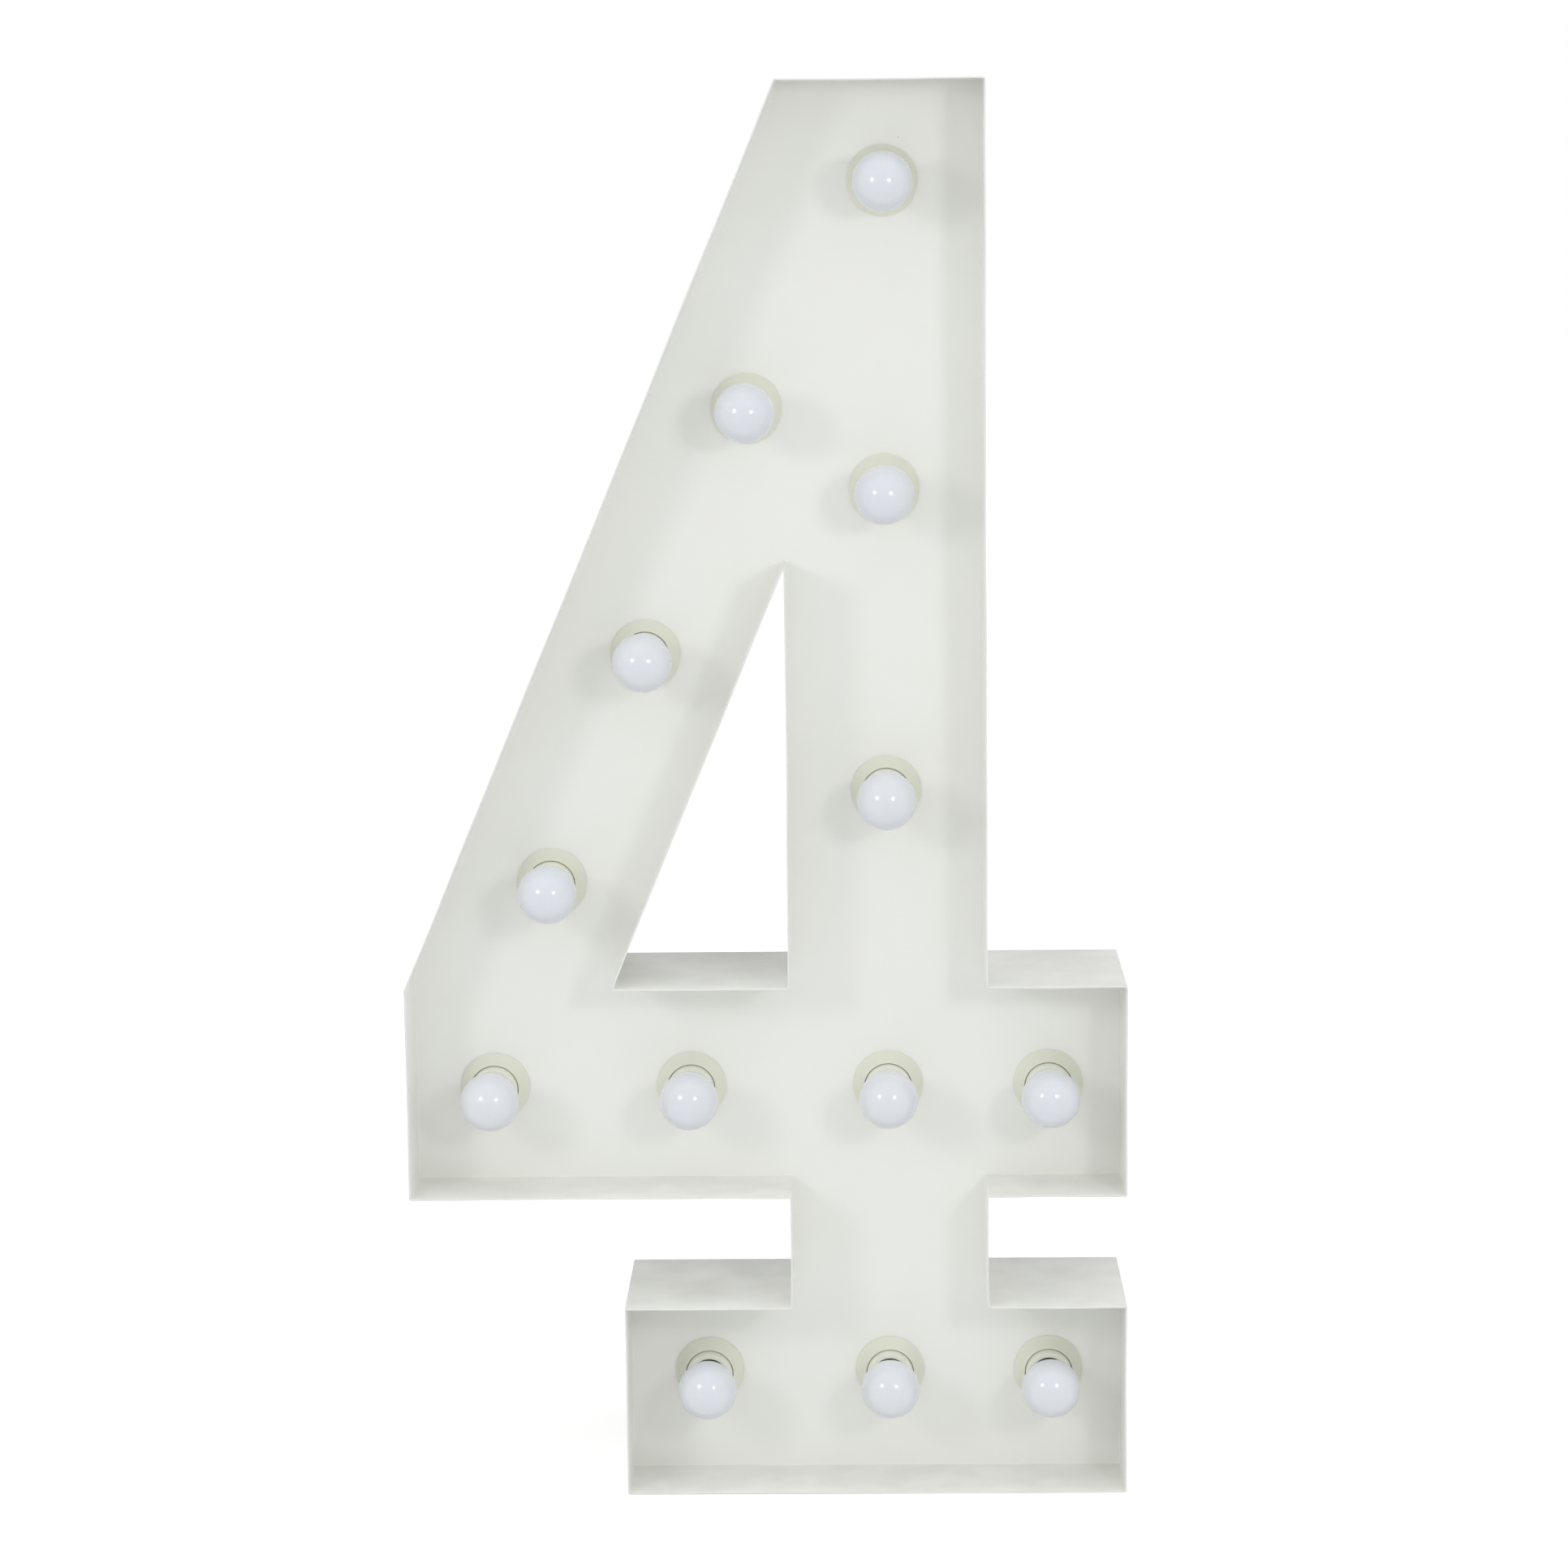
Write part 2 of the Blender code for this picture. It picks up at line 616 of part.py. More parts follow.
def main():
    """Builds the number in an empty scene."""
    for item in list(bpy.data.objects):
        bpy.data.objects.remove(item)
    paint = finish("cream_white_paint", (0.80, 0.82, 0.76), 0.45)
    cover_paint = finish("cover_paint", (0.80, 0.82, 0.76), 0.5)
    steel = finish("plated_steel", (0.62, 0.62, 0.60), 0.35, 1.0)
    nickel = finish("nickel_plate", (0.70, 0.69, 0.66), 0.3, 1.0)
    ivory = finish("ivory_plastic", (0.74, 0.74, 0.62), 0.4)
    opal = finish("opal_globe", (0.70, 0.73, 0.80), 0.12)
    black = finish("black_plastic", (0.02, 0.02, 0.02), 0.5)
    red = finish("red_rocker", (0.45, 0.03, 0.03), 0.3)
    brown = finish("brown_wire", (0.16, 0.06, 0.03), 0.5)
    blue = finish("blue_wire", (0.03, 0.10, 0.40), 0.5)
    green = finish("green_wire", (0.20, 0.45, 0.06), 0.5)
    add_returns(paint)
    add_panel(paint)
    add_cover(cover_paint)
    add_frame(steel)
    add_lamps(ivory, opal, nickel)
    add_inlet(black, nickel)
    add_switch(black, red)
    add_wiring(brown, blue, green)
    add_stud(steel)


main()
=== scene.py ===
"""Looks of the light up marquee number: its finishes, sheet metal, lamps, services, light and camera.

Metres, +Z up, and the front faces -Y. "Out" is measured forward from the front face of the lamp panel.
"""

import logging
import math
from dataclasses import dataclass, field, replace
from enum import Enum
from functools import lru_cache
from typing import Any, Callable, Iterable, Sequence

import bmesh
import bpy
from bpy.types import Material, Mesh, Node, NodeSocket, NodeTree, Object
from mathutils import Matrix, Vector
from mathutils.geometry import interpolate_bezier


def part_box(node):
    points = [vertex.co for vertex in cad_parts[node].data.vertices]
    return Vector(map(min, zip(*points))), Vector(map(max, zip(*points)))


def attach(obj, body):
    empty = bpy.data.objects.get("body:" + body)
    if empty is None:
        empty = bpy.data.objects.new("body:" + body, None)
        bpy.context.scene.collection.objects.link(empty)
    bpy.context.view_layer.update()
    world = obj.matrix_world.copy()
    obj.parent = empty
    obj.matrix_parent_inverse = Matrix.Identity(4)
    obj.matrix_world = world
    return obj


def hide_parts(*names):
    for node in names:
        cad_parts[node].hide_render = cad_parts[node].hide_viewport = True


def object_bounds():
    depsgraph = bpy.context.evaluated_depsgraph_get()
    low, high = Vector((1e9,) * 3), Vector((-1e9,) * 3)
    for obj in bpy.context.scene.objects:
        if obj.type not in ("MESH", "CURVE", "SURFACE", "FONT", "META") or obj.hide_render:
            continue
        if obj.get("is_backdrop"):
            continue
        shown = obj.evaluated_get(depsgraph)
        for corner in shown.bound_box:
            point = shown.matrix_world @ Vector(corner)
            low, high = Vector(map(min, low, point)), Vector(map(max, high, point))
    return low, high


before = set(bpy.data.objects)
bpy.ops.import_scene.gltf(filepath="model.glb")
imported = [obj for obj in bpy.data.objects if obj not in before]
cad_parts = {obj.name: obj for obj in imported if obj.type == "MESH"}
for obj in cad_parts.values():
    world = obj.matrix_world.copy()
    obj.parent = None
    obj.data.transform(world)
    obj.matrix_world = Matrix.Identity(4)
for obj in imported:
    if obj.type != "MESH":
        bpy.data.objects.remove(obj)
LOG = logging.getLogger("marquee_number")
MERGE_DISTANCE = 1e-5
GAP = 0.0003
EDGE_STEPS = 3
QUARTER = math.pi / 2
WHITE = (1.0, 1.0, 1.0)

# A point is (x, z) as the front shows it, (radius, height) where a piece is turned, or another pair of sizes
Point = tuple[float, float]
Profile = Sequence[Point]
Triple = tuple[float, float, float]


# Sizes that the frame gives


@dataclass(frozen=True)
class Depths:
    """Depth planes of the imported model, from front to back.

    Attributes:
        front: Front edge of the walls.
        panel: Front face of the lamp panel.
        panel_back: Its back face.
        cover_inner: Front face of the rear cover.
        cover: Its back face.
        back: Back edge of the walls.
    """

    front: float
    panel: float
    panel_back: float
    cover_inner: float
    cover: float
    back: float

    @classmethod
    def from_frame(cls) -> "Depths":
        """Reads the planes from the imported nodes."""
        front, back = (corner.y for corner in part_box("return_base"))
        panel, panel_back = (corner.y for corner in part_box("bulb_panel"))
        cover_inner, cover = (corner.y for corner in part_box("rear_cover"))
        return cls(front, panel, panel_back, cover_inner, cover, back)


DEPTHS = Depths.from_frame()


def on_plane(node: str, depth: float) -> Vector:
    """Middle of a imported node's box, moved to a depth."""
    low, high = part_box(node)
    middle = (low + high) / 2
    return Vector((middle.x, depth, middle.z))


def lamp_numbers() -> list[int]:
    """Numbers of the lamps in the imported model, from the top down."""
    head = "lamp_holder_"
    return sorted(int(name[len(head):]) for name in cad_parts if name.startswith(head))


def lamp_place(number: int) -> Vector:
    """Where a lamp's axis meets the panel."""
    return on_plane(f"lamp_holder_{number:02d}", DEPTHS.panel)


# Node trees


def feed(tree: NodeTree, entry: NodeSocket, value: Any) -> None:
    """Gives an input its value.

    Args:
        tree: The shader or geometry tree.
        entry: The input.
        value: An output, a node whose first output is meant, or a plain value. A colour gets full alpha.
    """
    if isinstance(value, Node):
        value = value.outputs[0]
    if isinstance(value, NodeSocket):
        tree.links.new(value, entry)
    else:
        entry.default_value = (*value, 1.0) if entry.type == "RGBA" else value


def add_node(tree: NodeTree, kind: str, inputs: dict[Any, Any] | None = None, **settings: Any) -> Node:
    """Adds a node to a tree.

    Args:
        tree: The shader or geometry tree.
        kind: Blender's type name of the node.
        inputs: Input name or index, and what feeds it.
        **settings: Properties of the node itself.

    Returns:
        The new node.
    """
    made = tree.nodes.new(kind)
    for key, value in settings.items():
        setattr(made, key, value)
    for key, value in (inputs or {}).items():
        feed(tree, made.inputs[key], value)
    return made


def add_math(tree: NodeTree, operation: str, *terms: Any, clamp: bool = False) -> Node:
    """Adds a Math node. With clamp its result stays from 0 to 1."""
    return add_node(tree, "ShaderNodeMath", dict(enumerate(terms)), operation=operation, use_clamp=clamp)


def add_range(tree: NodeTree, value: Any, low: Any, high: Any, start: Any = 0.0, end: Any = 1.0) -> Node:
    """Adds a smooth Map Range node. Its result goes from start to end as the value goes from low to high."""
    inputs = {"Value": value, "From Min": low, "From Max": high, "To Min": start, "To Max": end}
    return add_node(tree, "ShaderNodeMapRange", inputs, interpolation_type="SMOOTHSTEP")


def add_mix(tree: NodeTree, share: Any, base: Any, over: Any) -> NodeSocket:
    """Adds a mix of two colours, which is only the second at a share of 1."""
    return add_node(tree, "ShaderNodeMix", {0: share, 6: base, 7: over}, data_type="RGBA").outputs[2]


def object_place(tree: NodeTree) -> NodeSocket:
    """Socket of the place in the object's own coordinates."""
    return add_node(tree, "ShaderNodeTexCoord").outputs["Object"]


def add_noise(tree: NodeTree, scale: Any, detail: float, place: Any = None) -> Node:
    """Adds a noise texture, over the object's own coordinates where no place is given."""
    spot = object_place(tree) if place is None else place
    return add_node(tree, "ShaderNodeTexNoise", {"Vector": spot, "Scale": scale, "Detail": detail})


def shared_group(name: str, outputs: dict[str, str], **inputs: str) -> Callable[..., Callable[[], NodeTree]]:
    """Turns a function that fills a node group into one that gives the group, made on first use.

    Args:
        name: The group's name.
        outputs: Name and kind of each output, without the NodeSocket prefix.
        **inputs: The same for each input, with an underscore for a space.

    Returns:
        The decorator. What it decorates takes the tree and its inputs, and returns what feeds the outputs.
    """
    def decorate(fill: Callable[[NodeTree, Any], Any]) -> Callable[[], NodeTree]:
        """What gives the group that a function fills."""
        @lru_cache(maxsize=None)
        def group() -> NodeTree:
            """The group, filled on the first call."""
            kind = "GeometryNodeTree" if "Geometry" in outputs.values() else "ShaderNodeTree"
            tree = bpy.data.node_groups.new(name, kind)
            for way, sockets in (("INPUT", inputs), ("OUTPUT", outputs)):
                for label, socket in sockets.items():
                    label = label.replace("_", " ")
                    tree.interface.new_socket(label, in_out=way, socket_type="NodeSocket" + socket)
            filled = fill(tree, tree.nodes.new("NodeGroupInput").outputs)
            leave = tree.nodes.new("NodeGroupOutput").inputs
            for entry, value in zip(leave, filled if isinstance(filled, tuple) else (filled,)):
                feed(tree, entry, value)
            return tree
        return group
    return decorate


def finished(tree: NodeTree, enter: Any, *parts: Any) -> Node:
    """Ends a geometry tree: its parts joined, real geometry, closed seams and its material.

    Args:
        tree: The geometry tree.
        enter: Its inputs, one of which is Finish.
        *parts: What the tree has made.

    Returns:
        The last node.
    """
    whole = add_node(tree, "GeometryNodeJoinGeometry")
    for part in parts:
        feed(tree, whole.inputs[0], part)
    real = add_node(tree, "GeometryNodeRealizeInstances", {"Geometry": whole})
    closed = add_node(tree, "GeometryNodeMergeByDistance", {"Geometry": real, "Distance": MERGE_DISTANCE})
    return add_node(tree, "GeometryNodeSetMaterial", {"Geometry": closed, "Material": enter["Finish"]})


def add_object(name: str, data: Any) -> Object:
    """Puts a new object in the scene."""
    item = bpy.data.objects.new(name, data)
    bpy.context.scene.collection.objects.link(item)
    return item


def plain_mesh(item: Object) -> Mesh:
    """A new mesh of an object as its modifiers leave it."""
    graph = bpy.context.evaluated_depsgraph_get()
    return bpy.data.meshes.new_from_object(item.evaluated_get(graph))


def run_tree(tree: NodeTree, source: Mesh, finish: "Finish", **sizes: Any) -> Mesh:
    """Runs a geometry tree once.

    Args:
        tree: The geometry tree.
        source: Points or lines that the tree starts from.
        finish: The piece's finish.
        **sizes: Value of each other named input, with an underscore for a space.

    Returns:
        The result as a plain mesh.
    """
    maker = add_object("maker", source)
    modifier = maker.modifiers.new(tree.name, "NODES")
    modifier.node_group = tree
    sockets = {item.name: item.identifier for item in tree.interface.items_tree if item.in_out == "INPUT"}
    for label, value in {**sizes, "Finish": finish.material()}.items():
        modifier[sockets[label.replace("_", " ")]] = value
    mesh = plain_mesh(maker)
    bpy.data.objects.remove(maker)
    return mesh


PIECE = {"Piece": "Geometry"}


@shared_group("Turned piece", PIECE, Profile="Geometry", Sides="Int", Edge_Radius="Float", Edge_Steps="Int",
              Finish="Material")
def turned_tree(tree: NodeTree, enter: Any) -> Node:
    """A line of (radius, height) points, turned about Z with rounded edges."""
    line = add_node(tree, "GeometryNodeMeshToCurve", {"Mesh": enter["Profile"]})
    rounding = {"Radius": enter["Edge Radius"], "Limit Radius": True, "Count": enter["Edge Steps"]}
    softened = add_node(tree, "GeometryNodeFilletCurve", {"Curve": line, **rounding}, mode="POLY")
    unit = 1.0
    upright = {"Geometry": softened, "Translation": (-unit, 0, 0), "Scale": (unit, -unit, unit)}
    shifted = add_node(tree, "GeometryNodeTransform", upright)
    circling = {"Resolution": enter["Sides"], "Radius": unit}
    circle = add_node(tree, "GeometryNodeCurvePrimitiveCircle", circling)
    swept = add_node(tree, "GeometryNodeCurveToMesh", {"Curve": circle, "Profile Curve": shifted})
    return finished(tree, enter, swept)


@shared_group("Threaded sleeve", PIECE, Seed="Geometry", Radius="Float", Depth="Float", Pitch="Float",
              Length="Float", Run_In="Float", Wall="Float", Sides="Int", Rings="Int", Finish="Material")
def thread_tree(tree: NodeTree, enter: Any) -> Node:
    """A threaded sheet metal sleeve about Z, from the height 0 up."""
    half = 0.5
    counts = {"Vertices X": enter["Sides"], "Vertices Y": enter["Rings"]}
    grid = add_node(tree, "GeometryNodeMeshGrid", {"Size X": 1.0, "Size Y": 1.0, **counts})
    place = add_node(tree, "ShaderNodeSeparateXYZ", {0: add_node(tree, "GeometryNodeInputPosition")}).outputs
    across, along = (add_math(tree, "ADD", place[axis], half) for axis in "XY")
    turn = add_math(tree, "MULTIPLY", across, math.tau)
    height = add_math(tree, "MULTIPLY", along, enter["Length"])
    winds = add_math(tree, "SUBTRACT", add_math(tree, "DIVIDE", height, enter["Pitch"]), across)
    wave = add_math(tree, "COSINE", add_math(tree, "MULTIPLY", winds, math.tau))
    to_end = add_math(tree, "MINIMUM", height, add_math(tree, "SUBTRACT", enter["Length"], height))
    fade = add_range(tree, to_end, 0.0, enter["Run In"])
    reach = add_math(tree, "MULTIPLY", add_math(tree, "MULTIPLY", enter["Depth"], half), fade)
    radius = add_math(tree, "MULTIPLY_ADD", wave, reach, enter["Radius"])
    x, y = (add_math(tree, "MULTIPLY", radius, add_math(tree, way, turn)) for way in ("COSINE", "SINE"))
    point = add_node(tree, "ShaderNodeCombineXYZ", {"X": x, "Y": y, "Z": height})
    moved = add_node(tree, "GeometryNodeSetPosition", {"Geometry": grid, "Position": point})
    inner = add_node(tree, "GeometryNodeMergeByDistance", {"Geometry": moved, "Distance": MERGE_DISTANCE})
    walls = {"Mesh": inner, "Offset Scale": enter["Wall"], "Individual": False}
    outer = add_node(tree, "GeometryNodeExtrudeMesh", walls, mode="FACES")
    return finished(tree, enter, outer, add_node(tree, "GeometryNodeFlipFaces", {"Mesh": inner}))


@shared_group("Fasteners", PIECE, Places="Geometry", Fastener="Object", Seed="Int", Finish="Material")
def fastener_tree(tree: NodeTree, enter: Any) -> Node:
    """A fastener on each point, its head to the back, each turned by chance."""
    whole = add_node(tree, "GeometryNodeObjectInfo", {"Object": enter["Fastener"], "As Instance": True})
    chance = add_node(tree, "FunctionNodeRandomValue", {"Seed": enter["Seed"]}, data_type="FLOAT")
    spin = add_math(tree, "MULTIPLY", chance.outputs[1], math.tau)
    rotation = add_node(tree, "ShaderNodeCombineXYZ", {"X": -QUARTER, "Y": spin})
    spots = add_node(tree, "GeometryNodeMeshToPoints", {"Mesh": enter["Places"]})
    placing = {"Points": spots, "Instance": whole.outputs["Geometry"], "Rotation": rotation}
    return finished(tree, enter, add_node(tree, "GeometryNodeInstanceOnPoints", placing))


@shared_group("Grip ribs", PIECE, Nut="Geometry", Count="Int", Radius="Float", Rib="Vector", Height="Float",
              Finish="Material")
def grip_tree(tree: NodeTree, enter: Any) -> Node:
    """A nut about Z with grip ribs round it."""
    circle = add_node(tree, "GeometryNodeMeshCircle", {"Vertices": enter["Count"], "Radius": enter["Radius"]})
    lift = add_node(tree, "ShaderNodeCombineXYZ", {"Z": enter["Height"]})
    raised = add_node(tree, "GeometryNodeSetPosition", {"Geometry": circle, "Offset": lift})
    rib = add_node(tree, "GeometryNodeMeshCube", {"Size": enter["Rib"]})
    facing = {"Vector": add_node(tree, "GeometryNodeInputPosition")}
    turn = add_node(tree, "FunctionNodeAlignRotationToVector", facing, axis="X", pivot_axis="Z")
    placing = {"Points": raised, "Instance": rib, "Rotation": turn}
    return finished(tree, enter, add_node(tree, "GeometryNodeInstanceOnPoints", placing), enter["Nut"])


# Effects that several finishes share

MASK = {"Mask": "Float"}

# Values of the noise, or of how far a face looks up, between which a mask goes from 0 to 1
MOTTLE_NOISE = (0.35, 0.65)
DUST_NOISE = (0.2, 0.8)
DUST_SLOPE = (0.4, 1.0)
SCRATCH_NOISE = (0.45, 0.7)


@shared_group("Skin grain", {"Height": "Float"}, Fine_Scale="Float", Broad_Scale="Float", Broad_Share="Float")
def grain_effect(tree: NodeTree, enter: Any) -> Node:
    """Height of a sprayed or moulded skin, a broad swell under a fine grain."""
    fine = add_noise(tree, enter["Fine Scale"], 2.0)
    broad = add_noise(tree, enter["Broad Scale"], 1.0)
    return add_node(tree, "ShaderNodeMix", {"Factor": enter["Broad Share"], "A": fine, "B": broad})


@shared_group("Mottle", {"Colour": "Color", **MASK}, Colour="Color", Drift="Color", Scale="Float",
              Amount="Float")
def mottle_effect(tree: NodeTree, enter: Any) -> tuple[Any, Any]:
    """A colour that drifts slowly to a second one, and the mask that it follows."""
    cloud = add_noise(tree, enter["Scale"], 3.0)
    mask = add_math(tree, "MULTIPLY", add_range(tree, cloud, *MOTTLE_NOISE), enter["Amount"])
    return add_mix(tree, mask, enter["Colour"], enter["Drift"]), mask


@shared_group("Small marks", MASK, Cells="Float", Share="Float", Size="Float")
def speck_effect(tree: NodeTree, enter: Any) -> Node:
    """Mask of small marks, one at most in a cell, in a chosen share of the cells."""
    ragged = 900.0
    wobble = add_noise(tree, ragged, 2.0)
    cell = add_node(tree, "ShaderNodeTexVoronoi", {"Vector": object_place(tree), "Scale": enter["Cells"]})
    lot = add_node(tree, "ShaderNodeSeparateColor", {0: cell.outputs["Color"]})
    chosen = add_math(tree, "LESS_THAN", lot, enter["Share"])
    reach = add_math(tree, "MULTIPLY", enter["Size"], add_math(tree, "MULTIPLY", enter["Cells"], wobble))
    near = add_math(tree, "LESS_THAN", cell.outputs["Distance"], reach)
    return add_math(tree, "MULTIPLY", chosen, near)


@shared_group("Settled dust", MASK, Scale="Float", Amount="Float")
def dust_effect(tree: NodeTree, enter: Any) -> Node:
    """Mask of dust, which lies on faces that look up."""
    normal = add_node(tree, "ShaderNodeNewGeometry").outputs["Normal"]
    upward = add_node(tree, "ShaderNodeSeparateXYZ", {0: normal}).outputs["Z"]
    level = add_range(tree, upward, *DUST_SLOPE)
    cloud = add_range(tree, add_noise(tree, enter["Scale"], 5.0), *DUST_NOISE)
    return add_math(tree, "MULTIPLY", add_math(tree, "MULTIPLY", level, cloud), enter["Amount"])


@shared_group("Fine scratches", MASK, Stretch="Vector", Scale="Float", Amount="Float")
def scratch_effect(tree: NodeTree, enter: Any) -> Node:
    """Mask of fine scratches that run along one axis."""
    drawn = add_node(tree, "ShaderNodeMapping", {"Vector": object_place(tree), "Scale": enter["Stretch"]})
    lines = add_noise(tree, enter["Scale"], 4.0, drawn)
    return add_math(tree, "MULTIPLY", add_range(tree, lines, *SCRATCH_NOISE), enter["Amount"])


def use_effect(tree: NodeTree, effect: Callable[[], NodeTree], **values: Any) -> Any:
    """Places a shared effect in a material.

    Args:
        tree: The material's tree.
        effect: What gives the shader group.
        **values: Its inputs, with an underscore for a space.

    Returns:
        The group's output sockets.
    """
    inputs = {label.replace("_", " "): value for label, value in values.items()}
    group = add_node(tree, "ShaderNodeGroup", node_tree=effect())
    for label, value in inputs.items():
        feed(tree, group.inputs[label], value)
    return group.outputs


# Finishes

# What gives a colour and a roughness
Look = tuple[Any, Any]


class Slot(Enum):
    """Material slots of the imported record."""

    CASE = "case_paint"
    PANEL = "panel_paint"
    COVER = "cover_paint"
    STEEL = "plated_steel"
    IVORY = "ivory_plastic"
    OPAL = "opal_globe"
    CAP = "cap_metal"
    BLACK = "black_plastic"
    ROCKER = "rocker_plastic"
    PIN = "nickel_pins"
    BROWN = "brown_wire"
    BLUE = "blue_wire"
    GREEN = "green_wire"


@dataclass(frozen=True)
class Finish:
    """A surface finish.

    Attributes:
        name: The material's name.
        slot: The record's slot that it stands for; not used.
        colour: Main colour.
        drift: Colour that the main one drifts to.
        roughness: Mean roughness.
        specular: Specular level.
        metallic: 1 for bare metal.
        coat: Weight of a clear coat.
        soft: Depth to which light spreads under the surface, in metres.
        bump: Strength of the grain.
        grain: Fine scale of the grain, in features a metre.
    """

    name: str
    slot: Slot
    colour: Triple
    drift: Triple
    roughness: float
    specular: float = 0.5
    metallic: float = 0.0
    coat: float = 0.0
    soft: float = 0.0
    bump: float = 0.1
    grain: float = 700.0

    def material(self) -> Material:
        """The finish's material, made on first use."""
        return bpy.data.materials.get(self.name) or self.build()

    def build(self) -> Material:
        """Makes the material."""
        made = bpy.data.materials.new(self.name)
        made.use_nodes = True
        tree = made.node_tree
        colour, rough = self.surface(tree)
        skin = use_effect(tree, grain_effect, Fine_Scale=self.grain, Broad_Scale=7.0, Broad_Share=0.25)
        relief = {"Height": skin["Height"], "Strength": self.bump, "Distance": self.depth()}
        looks = {
            "Base Color": colour,
            "Roughness": rough,
            "Normal": add_node(tree, "ShaderNodeBump", relief),
            "Metallic": self.metallic,
            "Specular IOR Level": self.specular,
            "Coat Weight": self.coat,
            "Coat Roughness": self.roughness / 2,
            "Subsurface Weight": 1.0 if self.soft else 0.0,
            "Subsurface Radius": (1.0, 1.0, 1.0),
            "Subsurface Scale": self.soft,
        }
        for label, value in looks.items():
            feed(tree, tree.nodes["Principled BSDF"].inputs[label], value)
        return made

    def depth(self) -> float:
        """Height of the grain: a share of its wavelength."""
        share = 0.2
        return share / self.grain

    def surface(self, tree: NodeTree) -> Look:
        """Colour and roughness over the surface.

        Args:
            tree: The material's tree.

        Returns:
            What gives the colour and the roughness.
        """
        mottle = use_effect(tree, mottle_effect, Colour=self.colour, Drift=self.drift, Scale=9.0, Amount=1.0)
        spread = 0.12
        low, high = self.roughness * (1 - spread), self.roughness * (1 + spread)
        return mottle["Colour"], add_range(tree, mottle["Mask"], 0.0, 1.0, low, high)


@dataclass(frozen=True)
class PowderCoat(Finish):
    """Satin powder coat on sheet metal, with settled dust, a few dark specks and a front edge darkened by
    painted shade.

    Attributes:
        dust: Colour of the dust.
        dusty: Amount of dust on faces that look up.
        dulled: How much dust adds to the roughness.
        speck: Colour of the specks.
        edge: Colour of the sheet's front edge, a little darker than its faces: painted shade that dulls the
            edge's highlight.
        edge_fade: Distances behind the front edge between which that painted shade ends.
    """

    dust: Triple = (0.55, 0.55, 0.52)
    dusty: float = 0.25
    dulled: float = 0.4
    speck: Triple = (0.22, 0.20, 0.16)
    # Painted shade: a front edge darker than the faces, which dulls the edge's highlight.
    edge: Triple = (0.77, 0.777, 0.745)
    edge_fade: Point = (0.0002, 0.0006)

    def surface(self, tree: NodeTree) -> Look:
        """Colour and roughness over the surface, as for any finish."""
        colour, rough = super().surface(tree)
        dust = use_effect(tree, dust_effect, Scale=25.0, Amount=self.dusty)["Mask"]
        specks = use_effect(tree, speck_effect, Cells=60.0, Share=0.05, Size=0.001)["Mask"]
        depth = add_node(tree, "ShaderNodeSeparateXYZ", {0: object_place(tree)}).outputs["Y"]
        # Painted shade along the front edge, fading out just behind it, which dulls the edge's highlight.
        rim = add_range(tree, depth, *(DEPTHS.front + behind for behind in self.edge_fade), 1.0, 0.0)
        for mask, over in ((dust, self.dust), (specks, self.speck), (rim, self.edge)):
            colour = add_mix(tree, mask, colour, over)
        return colour, add_math(tree, "MULTIPLY_ADD", dust, self.dulled, rough, clamp=True)


@dataclass(frozen=True)
class Moulding(Finish):
    """Moulded plastic with faint scuffs from handling.

    Attributes:
        scuff: Colour of the scuffs.
        rubbed: How much a scuff adds to the roughness.
    """

    scuff: Triple = (0.8, 0.8, 0.75)
    rubbed: float = 0.5

    def surface(self, tree: NodeTree) -> Look:
        """Colour and roughness over the surface, as for any finish."""
        colour, rough = super().surface(tree)
        scuffs = use_effect(tree, scratch_effect, Stretch=(1.0, 0.3, 1.0), Scale=900.0, Amount=0.12)["Mask"]
        scuffed = add_mix(tree, scuffs, colour, self.scuff)
        return scuffed, add_math(tree, "MULTIPLY_ADD", scuffs, self.rubbed, rough, clamp=True)


@dataclass(frozen=True)
class Plating(Finish):
    """Bright plated metal with fine draw lines.

    Attributes:
        metallic: 1, because all of them are bare metal.
        stretch: How fast the lines change along each axis.
        drawn: How much the lines add to the roughness.
    """

    metallic: float = 1.0
    stretch: Triple = (1.0, 1.0, 0.1)
    drawn: float = 0.18

    def surface(self, tree: NodeTree) -> Look:
        """Colour and roughness over the surface, as for any finish."""
        colour, rough = super().surface(tree)
        lines = use_effect(tree, scratch_effect, Stretch=self.stretch, Scale=1500.0, Amount=1.0)["Mask"]
        return colour, add_math(tree, "MULTIPLY_ADD", lines, self.drawn, rough, clamp=True)


# Painted light: the walls' coat is the panel's colour made a little lighter, which lifts the shade on the
# walls inside the recess.
CASE_PAINT_LIGHTENED = PowderCoat("case_powder_coat_lightened", Slot.CASE, (0.88, 0.888, 0.852), (0.868, 0.876, 0.837), 0.42)
PANEL_PAINT = PowderCoat("panel_powder_coat", Slot.PANEL, (0.86, 0.868, 0.832), (0.848, 0.856, 0.817), 0.45)
COVER_PAINT = PowderCoat("cover_powder_coat", Slot.COVER, (0.84, 0.848, 0.812), (0.825, 0.833, 0.795), 0.5)
IVORY = Moulding("ivory_thermoplastic", Slot.IVORY, (0.80, 0.81, 0.705), (0.78, 0.79, 0.675), 0.38, bump=0.06)
